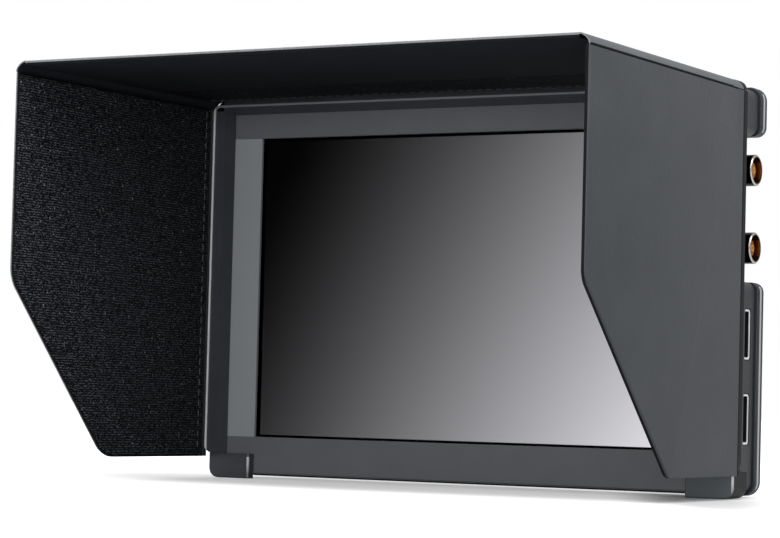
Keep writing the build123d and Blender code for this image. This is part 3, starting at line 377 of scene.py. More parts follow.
# The keys are moulded smooth, to a plain satin.
key_plastic, tree, shader, place = new_finish("POM key, satin charcoal", 0.4)
two_tone(tree, shader, place, "#2b2c2f", "#333437", 2.0)
grit(tree, shader, place, 0.3, 0.012)
dress(key_plastic, *[key + "_button" for key in ("power", "input", "menu", "down", "up", "exit")])

# The plate's coarse spark finish makes it nearly matt.
plate_plastic, tree, shader, place = new_finish("Glass-filled nylon, coarse spark finish", 0.55)
two_tone(tree, shader, place, "#19191b", "#212124", 3.0)
grit(tree, shader, place, 0.7, 0.05)
dress(plate_plastic, "battery_plate", "battery_latch")

# ------------------------------------------------------------------------------------------------
# Hood frame and corner clips: ABS mouldings, charcoal, semi-gloss from a polished mould, so their
# edges catch the light. Painted highlights: the bead along the rails, the edges of the clips and the
# right clip's face are drawn pale. Painted shade: the crown's corners and the side walls are drawn black.
# ------------------------------------------------------------------------------------------------
BEAD_BACK = -0.0155  # the painted highlight on the bead along the rails lies in front of here
BEAD_SIDE, BEAD_RIM = 0.0933, 0.0935  # and fully so only at its outer rim
BEAD_LEAST = 0.25  # share of the painted highlight elsewhere on the bead
CROWN_SIDE = 0.0905  # the corners are drawn black past here, a painted shade beside the fold strips
CROWN_LOW = 0.1200  # and above here
SIDE_WALL = -0.0137  # the side walls are drawn matt black behind here, a painted shade
FRAME_SHINE, WALL_SHINE = 0.5, 0.15
CLIP_TOP = 0.0056  # the clips reach up to here
CLIP_TIP = -0.0139  # and their faces are in front of here
LEFT_CLIP_EDGE, RIGHT_CLIP_EDGE = -0.0779, 0.0930  # where the two clips carry painted highlights
EDGE_HIGHLIGHT_HALF = 0.0004  # half the width of the painted highlight lines
FOOT_LOW, FOOT_HIGH = -0.0005, 0.0035  # the painted highlights fade towards the foot between these heights
FOOT_LEAST = 0.1  # share of it left at the foot

frame_abs, tree, shader, place = new_finish("ABS, semi-gloss moulding, charcoal", 0.26)
two_tone(tree, shader, place, "#393c42", "#43464c", 11.0)
grit(tree, shader, place, 0.5, 0.012)
plain = shader.inputs["Base Color"].links[0].from_socket
spot = add(tree, "ShaderNodeSeparateXYZ", None, {"Vector": place})
aside = add(tree, "ShaderNodeMath", {"operation": "ABSOLUTE"}, {0: spot.outputs["X"]})

# The bead's painted highlight.
on_rim = add(tree, "ShaderNodeMapRange", None, {
    "Value": aside.outputs[0], "From Min": BEAD_SIDE, "From Max": BEAD_RIM, "To Min": BEAD_LEAST})
on_bead = add(tree, "ShaderNodeMath", {"operation": "LESS_THAN"}, {0: spot.outputs["Y"], 1: BEAD_BACK})
highlight_mask = add(tree, "ShaderNodeMath", {"operation": "MULTIPLY"}, {0: on_rim.outputs[0], 1: on_bead.outputs[0]})
bead_highlighted = add(tree, "ShaderNodeMix", {"data_type": "RGBA"}, {
    "Factor": highlight_mask.outputs[0], "A": plain, "B": linear("#e2e3e6")})

# Painted shade: the black on the crown's corners, behind the bead.
past_side = add(tree, "ShaderNodeMath", {"operation": "SUBTRACT"}, {0: aside.outputs[0], 1: CROWN_SIDE})
over_crown = add(tree, "ShaderNodeMath", {"operation": "SUBTRACT"}, {0: spot.outputs["Z"], 1: CROWN_LOW})
behind_bead = add(tree, "ShaderNodeMath", {"operation": "SUBTRACT"}, {0: spot.outputs["Y"], 1: BEAD_BACK})
least = add(tree, "ShaderNodeMath", {"operation": "MINIMUM"}, {
    0: past_side.outputs[0], 1: over_crown.outputs[0]})
least = add(tree, "ShaderNodeMath", {"operation": "MINIMUM"}, {
    0: least.outputs[0], 1: behind_bead.outputs[0]})
on_crown = add(tree, "ShaderNodeMath", {"operation": "GREATER_THAN"}, {0: least.outputs[0], 1: 0.0})
crown_shaded = add(tree, "ShaderNodeMix", {"data_type": "RGBA"}, {
    "Factor": on_crown.outputs[0], "A": bead_highlighted.outputs["Result"], "B": linear("#0b0b0d")})

# Painted shade: the side walls drawn matt black.
behind_rail = add(tree, "ShaderNodeMath", {"operation": "SUBTRACT"}, {0: spot.outputs["Y"], 1: SIDE_WALL})
least = add(tree, "ShaderNodeMath", {"operation": "MINIMUM"}, {
    0: past_side.outputs[0], 1: behind_rail.outputs[0]})
on_wall = add(tree, "ShaderNodeMath", {"operation": "GREATER_THAN"}, {0: least.outputs[0], 1: 0.0})
wall_shaded = add(tree, "ShaderNodeMix", {"data_type": "RGBA"}, {
    "Factor": on_wall.outputs[0], "A": crown_shaded.outputs["Result"], "B": linear("#0c0d0f")})
shine = add(tree, "ShaderNodeMapRange", None, {
    "Value": on_wall.outputs[0], "To Min": FRAME_SHINE, "To Max": WALL_SHINE})
tree.links.new(shine.outputs["Result"], shader.inputs["Specular IOR Level"])

# Painted light: the right clip's face is drawn paler than the left one's, and both clips carry a painted
# highlight along an edge.
in_front = add(tree, "ShaderNodeMath", {"operation": "LESS_THAN"}, {0: spot.outputs["Y"], 1: CLIP_TIP})
low_down = add(tree, "ShaderNodeMath", {"operation": "LESS_THAN"}, {0: spot.outputs["Z"], 1: CLIP_TOP})
on_clip = add(tree, "ShaderNodeMath", {"operation": "MULTIPLY"}, {
    0: in_front.outputs[0], 1: low_down.outputs[0]})
at_right = add(tree, "ShaderNodeMath", {"operation": "GREATER_THAN"}, {0: spot.outputs["X"], 1: 0.0})
paler = add(tree, "ShaderNodeMath", {"operation": "MULTIPLY"}, {
    0: at_right.outputs[0], 1: on_clip.outputs[0]})
clip_lit_paler = add(tree, "ShaderNodeMix", {"data_type": "RGBA"}, {
    "Factor": paler.outputs[0], "A": wall_shaded.outputs["Result"], "B": linear("#4f5558")})
at_left_edge = add(tree, "ShaderNodeMath", {"operation": "COMPARE"}, {
    0: spot.outputs["X"], 1: LEFT_CLIP_EDGE, 2: EDGE_HIGHLIGHT_HALF})
at_right_edge = add(tree, "ShaderNodeMath", {"operation": "COMPARE"}, {
    0: spot.outputs["X"], 1: RIGHT_CLIP_EDGE, 2: EDGE_HIGHLIGHT_HALF})
at_edge = add(tree, "ShaderNodeMath", {"operation": "ADD"}, {
    0: at_left_edge.outputs[0], 1: at_right_edge.outputs[0]})
above_foot = add(tree, "ShaderNodeMapRange", None, {
    "Value": spot.outputs["Z"], "From Min": FOOT_LOW, "From Max": FOOT_HIGH, "To Min": FOOT_LEAST})
sheen_mask = add(tree, "ShaderNodeMath", {"operation": "MULTIPLY"}, {
    0: at_edge.outputs[0], 1: on_clip.outputs[0]})
sheen_mask = add(tree, "ShaderNodeMath", {"operation": "MULTIPLY"}, {
    0: sheen_mask.outputs[0], 1: above_foot.outputs[0]})
highlighted = add(tree, "ShaderNodeMix", {"data_type": "RGBA"}, {
    "Factor": sheen_mask.outputs[0], "A": clip_lit_paler.outputs["Result"], "B": linear("#c9cbcd")})
tree.links.new(highlighted.outputs["Result"], shader.inputs["Base Color"])
dress(frame_abs, "hood_frame", "corner_clip_left", "corner_clip_right")

# ------------------------------------------------------------------------------------------------
# Flap covers: charcoal leatherette, welded round each stiff board and turned over its edge, so a
# narrow rim of it frames the lining inside. Each cover is cut from a blank, rounded at the corners,
# and its cut edges are painted black.
# ------------------------------------------------------------------------------------------------
FRONT = -0.011  # the bezel's front face
TIP = FRONT - 0.1113  # the flaps reach out to here
LOW = 0.0054  # bottom edge of the side flaps
SIDE_TOP = 0.1204  # and their top edge
OUT = 0.0947  # outer face of the side flaps
KNEE = Vector((0, TIP, 0.0584))  # the slanted cut runs down from here to the toe
TOE = {-1: FRONT - 0.0625, 1: FRONT - 0.0545}  # the left flap's toe, -1, is cut a little further out
KNEE_ROUND = {-1: 0.0085, 1: 0.0060}  # radii of the corners
TOE_ROUND = {-1: 0.0115, 1: 0.0045}
HALF_TURN = math.radians(22.5)  # half of the turn at either corner of the cut
CUT_BACK, CUT_TOP = FRONT - 0.03, 0.09  # both corners lie in front of and below these
TOP_FACE = SIDE_TOP + 0.0033  # upper face of the top flap
TOP_HALF = 0.0914  # half the top flap's width
THICK = 0.0014  # a whole flap: cover, board and lining
SKIN = 0.0004  # the cover alone
RIM = 0.0005  # width of the turned-over rim
FOLD = {"left": FRONT - 0.0067, "right": FRONT - 0.0084, "top": FRONT - 0.0117}  # so the flaps stack
FOLD_GAP = 0.0006  # a cover starts this far in front of its fold line
EDGE_SOFT = 0.0005  # rounding of a cover's outer edges
PALE_EDGE_WIDTH = 0.0007  # width of the pale part of a cut edge, a painted highlight
SAME = 1e-5  # places closer than this are the same place

PEBBLE_MM = 1 / 1.1  # eleven pebbles of the grain in 10 mm, coarser than real so that they show
CREASE_MM = 1 / 0.26  # creases run across the grain about 4 mm apart
GRAIN_DEEP = 0.00006  # height of the grain
SHEEN_SLOPE = (0, 3.64, 5.0)  # the painted sheen grows backwards and upwards
SHEEN_LOW, SHEEN_HIGH = -0.34, 0.56  # its start and end along that slope
SHEEN_LEAST, SHEEN_MOST = 0.32, 0.64


def embossed(name, low, high):
    """A leatherette with a fine embossed grain, in two close tones."""
    material, tree, shader, place = new_finish(name, 0.5)
    pebbles = add(tree, "ShaderNodeTexVoronoi", None, {
        "Vector": place, "Scale": 1000 / PEBBLE_MM, "Randomness": 1.0})
    creases = add(tree, "ShaderNodeTexNoise", None, {
        "Vector": place, "Scale": 1000 / CREASE_MM, "Detail": 6.0, "Roughness": 0.65})
    grain = add(tree, "ShaderNodeMath", {"operation": "MULTIPLY_ADD"}, {
        0: creases.outputs["Fac"], 1: 0.8, 2: pebbles.outputs["Distance"]})
    bump = add(tree, "ShaderNodeBump", None, {
        "Height": grain.outputs[0], "Distance": GRAIN_DEEP, "Strength": 0.7})
    tree.links.new(bump.outputs["Normal"], shader.inputs["Normal"])
    two_tone(tree, shader, place, low, high, 18.0)
    shader.inputs["Sheen Weight"].default_value = 0.08
    shader.inputs["Sheen Roughness"].default_value = 0.5
    return material


# Leatherette gives a soft, even sheen. Its gloss is drawn stronger up and back towards the folds and
# weaker at the low front corners, a painted sheen that follows how the light falls.
leatherette = embossed("Leatherette, fine grain, charcoal", "#31353b", "#3d4146")
tree = leatherette.node_tree
place = add(tree, "ShaderNodeTexCoord").outputs["Object"]
sheen_mask = add(tree, "ShaderNodeVectorMath", {"operation": "DOT_PRODUCT"}, {0: place, 1: SHEEN_SLOPE})
painted_sheen = add(tree, "ShaderNodeMapRange", None, {
    "Value": sheen_mask.outputs["Value"], "From Min": SHEEN_LOW, "From Max": SHEEN_HIGH,
    "To Min": SHEEN_LEAST, "To Max": SHEEN_MOST})
tree.links.new(painted_sheen.outputs["Result"], tree.nodes["Principled BSDF"].inputs["Specular IOR Level"])

# Edge paint dries to a rough, flat black.
cut_edge, tree, shader, place = new_finish("Leatherette edge, painted black", 0.6)
shader.inputs["Specular IOR Level"].default_value = 0.15
two_tone(tree, shader, place, "#0c0c0e", "#19191c", 1.2)
grit(tree, shader, place, 0.25, 0.03)

# The front cut edges are drawn as a pale, fuzzy line: a painted highlight along the edge.
edge_highlight, tree, shader, place = new_finish("Leatherette edge, pale, painted highlight", 0.7)
two_tone(tree, shader, place, "#6c6e72", "#9c9ea2", 0.8)
grit(tree, shader, place, 0.2, 0.03)


def block(name, low, high):
    """A new box between two corners, in edit mode with nothing selected."""
    bpy.ops.object.select_all(action="DESELECT")
    low, high = Vector(low), Vector(high)
    bpy.ops.mesh.primitive_cube_add(size=1)
    made = bpy.context.object
    made.name = made.data.name = name
    made.data.transform(Matrix.Diagonal((*(high - low), 1)))
    made.data.transform(Matrix.Translation((low + high) / 2))
    bpy.ops.object.mode_set(mode="EDIT")
    bpy.ops.mesh.select_all(action="DESELECT")
    return made


def pick(made, kind, test):
    """Select the edges or faces of the piece in edit mode that pass a test, and nothing else."""
    bpy.ops.object.mode_set(mode="OBJECT")
    mesh = made.data
    for group in (mesh.vertices, mesh.edges, mesh.polygons):
        for item in group:
            item.select = False
    for item in getattr(mesh, kind):
        item.select = test(mesh, item)
    bpy.ops.object.mode_set(mode="EDIT")
    bpy.ops.mesh.select_mode(type="EDGE" if kind == "edges" else "FACE")


def cut(spot, across, **rest):
    """Cut the whole piece in edit mode along a plane."""
    bpy.ops.mesh.select_all(action="SELECT")
    bpy.ops.mesh.bisect(plane_co=spot, plane_no=across, **rest)


def on_level(axis, level):
    """A test for the edges that lie at a distance from the middle along an axis."""
    def test(mesh, edge):
        return all(abs(abs(mesh.vertices[i].co[axis]) - abs(level)) < SAME for i in edge.vertices)
    return test


def facing(direction):
    """A test for the faces that look in a direction."""
    return lambda mesh, face: face.normal.dot(Vector(direction)) > 0.9


def cut_corner(axis, level):
    """A test for the edge through a side flap's thickness at one corner of its slanted cut."""
    at_level = on_level(axis, level)

    def test(mesh, edge):
        one, other = (mesh.vertices[i].co for i in edge.vertices)
        return at_level(mesh, edge) and abs(one.x - other.x) > SAME and one.y < CUT_BACK and one.z < CUT_TOP
    return test


def finish_piece(made, material, body, slot_name, *nodes):
    """Leave edit mode, shade, dress and fix a new piece to its body."""
    bpy.ops.object.mode_set(mode="OBJECT")
    bpy.ops.object.shade_smooth_by_angle(angle=math.radians(35))
    if material:
        made.data.materials.append(material)
    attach(made, body)
    if nodes:
        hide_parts(*nodes)
    return made


def side_blank(name, hand, outer, inner, rear, inset):
    """A side flap's outline between two distances from the middle, shrunk by an inset."""
    near, far = sorted((hand * outer, hand * inner))
    made = block(name, (near, TIP + inset, LOW + inset), (far, rear - inset, SIDE_TOP - inset))
    toe = Vector((0, TOE[hand], LOW))
    slant = KNEE - toe
    outward = Vector((0, -slant.z, slant.y)).normalized()
    cut(toe - outward * inset, outward, use_fill=True, clear_outer=True)
    for axis, level, radius in ((1, TIP + inset, KNEE_ROUND[hand]), (2, LOW + inset, TOE_ROUND[hand])):
        pick(made, "edges", cut_corner(axis, level))
        bpy.ops.mesh.bevel(offset=(radius - inset) * math.tan(HALF_TURN), segments=8)
    return made


def hollow(made, inward):
    """Sink the inner side of a cover to leave a rim round the recess for board and lining."""
    pick(made, "polygons", facing(inward))
    bpy.ops.mesh.inset(thickness=RIM, depth=0)
    bpy.ops.transform.translate(value=Vector(inward) * (SKIN - THICK))


def paint_faces(made, finishes, choose):
    """Give a piece its finishes, and each face the one that is chosen for it."""
    for material in finishes:
        made.data.materials.append(material)
    for face in made.data.polygons:
        face.material_index = finishes.index(choose(face))


def paint_edges(made, outward, highlit_front=False):
    """Paint the rim and the cut edges black, or draw the front one pale as a painted highlight. The outer
    face stays bare.
    """
    outward = Vector(outward)
    outer = max(outward.dot(corner.co) for corner in made.data.vertices)
    cut(outward * (outer - PALE_EDGE_WIDTH), outward)
    bpy.ops.object.mode_set(mode="OBJECT")

    def finish(face):
        front_edge = face.normal.y < -0.2 and outward.dot(face.center) > outer - PALE_EDGE_WIDTH
        if highlit_front and front_edge:
            return edge_highlight
        looks_out = face.normal.dot(outward) > 0.05
        return leatherette if looks_out else cut_edge
    paint_faces(made, (leatherette, cut_edge, edge_highlight), finish)


for hand, name in ((-1, "left"), (1, "right")):
    rear = FOLD[name] - FOLD_GAP
    cover = side_blank(name + "_cover", hand, OUT, OUT - THICK, rear, 0)
    hollow(cover, (-hand, 0, 0))
    outside, at_rear = on_level(0, OUT), on_level(1, rear)
    pick(cover, "edges", lambda mesh, edge: outside(mesh, edge) and not at_rear(mesh, edge))
    bpy.ops.mesh.bevel(offset=EDGE_SOFT, segments=3)
    paint_edges(cover, (hand, 0, 0), highlit_front=name == "left")
    finish_piece(cover, None, name + "_flap", "leatherette", name + "_flap_skin")

top_rear = FOLD["top"] - FOLD_GAP
cover = block("top_cover", (-TOP_HALF, TIP, TOP_FACE - THICK), (TOP_HALF, top_rear, TOP_FACE))
hollow(cover, (0, 0, -1))
on_top, at_tip = on_level(2, TOP_FACE), on_level(1, TIP)
pick(cover, "edges", lambda mesh, edge: on_top(mesh, edge) and at_tip(mesh, edge))
bpy.ops.mesh.bevel(offset=EDGE_SOFT, segments=3)
paint_edges(cover, (0, 0, 1), highlit_front=True)
finish_piece(cover, None, "top_flap", "leatherette", "top_flap_skin")

# ------------------------------------------------------------------------------------------------
# Hems and fold strips: the same leatherette without a board, backed with brushed tricot. A soft hem
# slopes from each long edge of the top cover to the side flap below it, and a strip bonded to the
# rail bends at each fold.
# ------------------------------------------------------------------------------------------------
STRIP_THICK = 0.0004
STRIP_END = FRONT - 0.0034  # the strips end here on the rails
STRIP_PAINTED = 0.0010  # the strips' ends on the rails are painted black
STRIP_BANDS = 12  # a strip is cut across so that it can bend
HEM_LOW = SIDE_TOP + 0.0003  # a hair above the side flaps
HEM_RUN = OUT - TOP_HALF
HEM_DROP = TOP_FACE - HEM_LOW
HEM_BANDS = 6
HEM_SEAM = 0.00025  # height of the dark seam where a hem meets its side flap
HEM_TUCK = 0.0001  # the hem's inner lip reaches this far below the side flap's top edge
HEM_BULGE = 0.7  # 0 for a flat slope, 1 for a round one
AT_END = 0.001  # share of the run that counts as its very start or end

# Tricot is brushed to a soft matt black that swallows light.
smooth_cloth, tree, shader, place = new_finish("Brushed tricot, black", 0.8)
shader.inputs["Specular IOR Level"].default_value = 0.1
two_tone(tree, shader, place, "#1d1f24", "#26282d", 6.0)
grit(tree, shader, place, 0.5, 0.05)

# The same leatherette in a paler colour for the hems, a painted highlight for the light they face.
drawn = embossed("Leatherette on the hems, paler, painted light", "#52565c", "#60656b")


def cut_bands(axis, low, high, count):
    """Cut the piece in edit mode across one axis into equal bands."""
    for band in range(1, count):
        spot, across = [0, 0, 0], [0, 0, 0]
        spot[axis] = low + (high - low) * band / count
        across[axis] = 1
        cut(spot, across)


def slope_down(made):
    """Round the ends of a flat strip down to the side flaps, as the hems lie."""
    bpy.ops.object.mode_set(mode="OBJECT")
    for corner in made.data.vertices:
        along = (abs(corner.co.x) - TOP_HALF) / HEM_RUN
        if along < AT_END:
            continue
        angle = along * math.pi / 2
        flat = Vector((TOP_HALF + along * HEM_RUN, 0, TOP_FACE - along * HEM_DROP))
        bent = Vector((TOP_HALF + HEM_RUN * math.sin(angle), 0, HEM_LOW + HEM_DROP * math.cos(angle)))
        spot = flat.lerp(bent, HEM_BULGE)
        if corner.co.z < TOP_FACE - STRIP_THICK / 2:
            slant = Vector((HEM_DROP, 0, HEM_RUN)).normalized()
            round_out = Vector((math.sin(angle), 0, math.cos(angle)))
            spot -= slant.lerp(round_out, HEM_BULGE).normalized() * STRIP_THICK
            if along > 1 - AT_END:
                spot.z = SIDE_TOP - HEM_TUCK
        corner.co.x, corner.co.z = math.copysign(spot.x, corner.co.x), spot.z


def soft_strip(name, made, flap):
    """Shade and dress a strip of bare leatherette, hide the CAD strip it stands for, and fix it in place."""
    bpy.ops.object.mode_set(mode="OBJECT")
    bpy.ops.object.shade_smooth_by_angle(angle=math.radians(50))

    def finish(face):
        if face.center.y > STRIP_END - STRIP_PAINTED:
            return cut_edge
        if flap == "top_flap" and abs(face.center.x) > TOP_HALF:
            return drawn if face.normal.z > 0 else smooth_cloth
        return leatherette
    paint_faces(made, (leatherette, cut_edge, drawn, smooth_cloth), finish)
    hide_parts(name)
    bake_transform(made)


for hand, name in ((-1, "left"), (1, "right")):
    near, far = sorted((hand * OUT, hand * (OUT - STRIP_THICK)))
    end = FOLD[name] - FOLD_GAP
    strip = block(name + "_strip", (near, end, LOW), (far, STRIP_END, SIDE_TOP))
    cut_bands(1, end, STRIP_END, STRIP_BANDS)
    cut((0, STRIP_END - STRIP_PAINTED, 0), (0, 1, 0))
    soft_strip(name + "_fold_strip", strip, name + "_flap")

strip = block("top_strip", (-OUT, top_rear, TOP_FACE - STRIP_THICK), (OUT, STRIP_END, TOP_FACE))
cut_bands(1, top_rear, STRIP_END, STRIP_BANDS)
cut((0, STRIP_END - STRIP_PAINTED, 0), (0, 1, 0))
for hand in (-1, 1):
    cut_bands(0, hand * OUT, hand * TOP_HALF, HEM_BANDS)
    cut((hand * TOP_HALF, 0, 0), (1, 0, 0))
slope_down(strip)
soft_strip("top_fold_strip", strip, "top_flap")

for hand, name in ((-1, "left"), (1, "right")):
    near, far = sorted((hand * TOP_HALF, hand * OUT))
    hem = block(name + "_hem", (near, TIP, TOP_FACE - STRIP_THICK), (far, top_rear, TOP_FACE))
    cut_bands(0, near, far, HEM_BANDS)
    slope_down(hem)
    bpy.ops.object.mode_set(mode="EDIT")
    cut((0, 0, HEM_LOW + HEM_SEAM), (0, 0, 1))
    bpy.ops.object.mode_set(mode="OBJECT")
    outward = Vector((hand, 0, 1))
    paint_faces(hem, (drawn, smooth_cloth, edge_highlight, cut_edge), lambda face: (
        edge_highlight if face.normal.y < -0.9
        else smooth_cloth if face.normal.dot(outward) <= 0
        else cut_edge if face.center.z < HEM_LOW + HEM_SEAM
        else drawn))
    finish_piece(hem, None, "top_flap", "leatherette", "top_flap_hems")
    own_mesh(hem)

# ------------------------------------------------------------------------------------------------
# Linings: black knitted loop cloth glued to the side boards, ribbed along its courses, and a smooth
# black cloth under the top board with a band of loop cloth next to the fold. They kill stray light.
# ------------------------------------------------------------------------------------------------
COURSE_MM = 0.75  # height of one rib of the knit, drawn a little coarse so that it shows
LOOP_MM = 1 / 1.9  # nineteen loops in 10 mm
LOOPS_WIDE = 0.45  # the loops lie along the ribs, so they are drawn out sideways
LOOP_DEEP = 0.0003  # height of the loops
FLECK_MM = 1 / 1.1  # size of the loops that glint
INSIDE_RIM = RIM + 0.0001  # what lies in a cover's recess keeps this far from the flap's edge
FLAP_IN = OUT - THICK  # inner face of the side flaps
TOP_UNDER = TOP_FACE - THICK  # underside of the top flap
LINING_DEEP = 0.0005  # a lining reaches this far into the recess
LINING_SOFT = 0.0003  # rounding of its edges
BAND = 0.0270  # depth of the band of loop cloth
BAND_GAP = 0.0002
GLUE = 0.00002  # glue line between a cover and its board
BOARD_UNDER = 0.00042  # how deep a board lies under its lining's face
BOARD_SOFT = 0.0001

# The knit is dull and dark between its ribs, and a few loops stand up and glint.
loop_cloth, tree, shader, place = new_finish("Knitted loop cloth, black", 0.75)
shader.inputs["Specular IOR Level"].default_value = 0.12
courses = add(tree, "ShaderNodeTexWave", {"bands_direction": "Z"}, {
    "Vector": place, "Scale": WAVE_PER_MM / COURSE_MM, "Distortion": 4.2, "Detail": 2.0, "Detail Scale": 2.8})
ribs = add(tree, "ShaderNodeMapRange", None, {
    "Value": courses.outputs["Fac"], "From Min": 0.45, "From Max": 0.95})
drawn_out = add(tree, "ShaderNodeMapping", None, {"Vector": place, "Scale": (LOOPS_WIDE, LOOPS_WIDE, 1.0)})
loops = add(tree, "ShaderNodeTexNoise", None, {
    "Vector": drawn_out.outputs["Vector"], "Scale": 1000 / LOOP_MM, "Detail": 3.0, "Roughness": 0.7})
breaks = add(tree, "ShaderNodeMapRange", None, {
    "Value": loops.outputs["Fac"], "From Min": 0.44, "From Max": 0.56})
strands = add(tree, "ShaderNodeMath", {"operation": "MULTIPLY"}, {
    0: ribs.outputs["Result"], 1: breaks.outputs["Result"]})
glints = add(tree, "ShaderNodeTexNoise", None, {"Vector": place, "Scale": 1000 / FLECK_MM, "Detail": 2.0})
flecks = add(tree, "ShaderNodeMapRange", None, {
    "Value": glints.outputs["Fac"], "From Min": 0.68, "From Max": 0.76})
knit = add(tree, "ShaderNodeMix", {"data_type": "RGBA"}, {
    "Factor": strands.outputs[0], "A": linear("#0e1013"), "B": linear("#5e6269")})
flecked = add(tree, "ShaderNodeMix", {"data_type": "RGBA"}, {
    "Factor": flecks.outputs["Result"], "A": knit.outputs["Result"], "B": linear("#9a9ea5")})
tree.links.new(flecked.outputs["Result"], shader.inputs["Base Color"])
bump = add(tree, "ShaderNodeBump", None, {
    "Height": loops.outputs["Fac"], "Distance": LOOP_DEEP, "Strength": 0.8})
tree.links.new(bump.outputs["Normal"], shader.inputs["Normal"])

for hand, name in ((-1, "left"), (1, "right")):
    rear = FOLD[name] - FOLD_GAP
    lining = side_blank(name + "_lining", hand, FLAP_IN + LINING_DEEP, FLAP_IN, rear, INSIDE_RIM)
    pick(lining, "edges", on_level(0, FLAP_IN))
    bpy.ops.mesh.bevel(offset=LINING_SOFT, segments=2)
    finish_piece(lining, loop_cloth, name + "_flap", "loop_fabric", name + "_flap_lining")

lining_wide = TOP_HALF - INSIDE_RIM
lining_rear = top_rear - BAND - BAND_GAP
for name, front, rear, material, slot_name, node in (
        ("top_lining", TIP + INSIDE_RIM, lining_rear, smooth_cloth, "smooth_lining", "top_flap_lining"),
        ("top_band", top_rear - BAND, top_rear - INSIDE_RIM, loop_cloth, "loop_fabric", "top_loop_band")):
    lining = block(name, (-lining_wide, front, TOP_UNDER), (lining_wide, rear, TOP_UNDER + LINING_DEEP))
    pick(lining, "edges", on_level(2, TOP_UNDER))
    bpy.ops.mesh.bevel(offset=LINING_SOFT, segments=2)
    finish_piece(lining, material, "top_flap", slot_name, node)

# The boards are plain calendered sheet, hidden but for the gaps at the rims.
black_sheet, tree, shader, place = new_finish("Polypropylene sheet, black", 0.5)
two_tone(tree, shader, place, "#111113", "#161618", 8.0)
dress(black_sheet, "top_flap_board")
for hand, name in ((-1, "left"), (1, "right")):
    rear = FOLD[name] - FOLD_GAP
    board = side_blank(name + "_board", hand, OUT - SKIN - GLUE, FLAP_IN + BOARD_UNDER, rear, INSIDE_RIM)
    pick(board, "edges", on_level(0, FLAP_IN + BOARD_UNDER))
    bpy.ops.mesh.bevel(offset=BOARD_SOFT, segments=1)
    finish_piece(board, black_sheet, name + "_flap", "flap_board", name + "_flap_board")

# ------------------------------------------------------------------------------------------------
# Stitching: one row of grey thread holds each loop cloth to its cover beside the fold. A stitch is
# modelled once and repeated along its row.
# ------------------------------------------------------------------------------------------------
THREAD = 0.0002  # radius of the thread
THREAD_SOFT = THREAD * 0.7
STITCH = 0.0022
STITCH_STEP = 0.0034
ROW_IN = 0.0030  # a row runs this far in front of the flap's rear edge
ROW_START = 0.004
SIDE_STITCHES, TOP_STITCHES = 33, 53

# Bonded thread is round, tight and slightly shiny.
thread, tree, shader, place = new_finish("Bonded nylon thread, grey", 0.5)
two_tone(tree, shader, place, "#3b3c40", "#505156", 0.8)
grit(tree, shader, place, 0.2, 0.03)


def stitch_row(name, start, step, along, count, body):
    """A row of short threads lying on a lining."""
    bpy.ops.object.select_all(action="DESELECT")
    bpy.ops.mesh.primitive_cylinder_add(vertices=8, radius=THREAD, depth=STITCH)
    row = bpy.context.object
    row.name = row.data.name = name
    bpy.ops.object.mode_set(mode="EDIT")
    bpy.ops.mesh.select_all(action="SELECT")
    bpy.ops.mesh.bevel(offset=THREAD_SOFT, segments=2)
    bpy.ops.object.mode_set(mode="OBJECT")
    row.data.transform(Vector((0, 0, 1)).rotation_difference(Vector(along)).to_matrix().to_4x4())
    row.data.transform(Matrix.Translation(start))
    array = row.modifiers.new("Repeat", "ARRAY")
    array.use_relative_offset = False
    array.use_constant_offset = True
    array.constant_offset_displace = step
    array.count = count
    bpy.ops.object.modifier_apply(modifier=array.name)
    return finish_piece(row, thread, body, "leatherette")


for hand, name in ((-1, "left"), (1, "right")):
    spot = Vector((hand * FLAP_IN, FOLD[name] - FOLD_GAP - ROW_IN, LOW + ROW_START))
    stitch_row(
        name + "_stitches", spot, (0, 0, STITCH_STEP), (0, 0, 1), SIDE_STITCHES, name + "_flap")
spot = Vector((ROW_START - TOP_HALF, top_rear - ROW_IN, TOP_UNDER))
stitch_row("top_stitches", spot, (STITCH_STEP, 0, 0), (1, 0, 0), TOP_STITCHES, "top_flap")

# ------------------------------------------------------------------------------------------------
# Studio: a matt white floor with white behind it. A key softbox stands at the right front, a small
# one beside the right flap, a strip light low in front, and a large softbox over the top.
# ------------------------------------------------------------------------------------------------
FLOOR_SIZE = 12
FLOOR_GAP = 0.0001  # the floor lies this far under the lowest corner
SHADED_SIDE, SHADED_FRONT = 0.12, 0.055  # the glow stays low this far from the middle of the foot
SHADED_FROM, SHADED_TO = 0.9, 1.8  # and rises between these multiples of it
SHADED_GLOW, OPEN_GLOW = 0.4, 0.9
CLIP_SHADE_AT = (0.098, -0.046, 0)  # middle of the shade in front of the right clip
CLIP_SHADE_TURN = (0, 0, 0.518)
CLIP_SHADE_SIZE = (0.028, 0.12, 1)
CLIP_SHADE_CORE = 0.2
ROOM_LIGHT = 0.4
AIM = (0, 0, 0.06)  # middle of the monitor

low_corner = cad_box[0]
bpy.ops.object.select_all(action="DESELECT")
bpy.ops.mesh.primitive_plane_add(size=FLOOR_SIZE)
floor = bpy.context.object
floor.name = "studio_floor"
floor.data.transform(Matrix.Translation((0, 0, low_corner[2] - FLOOR_GAP)))

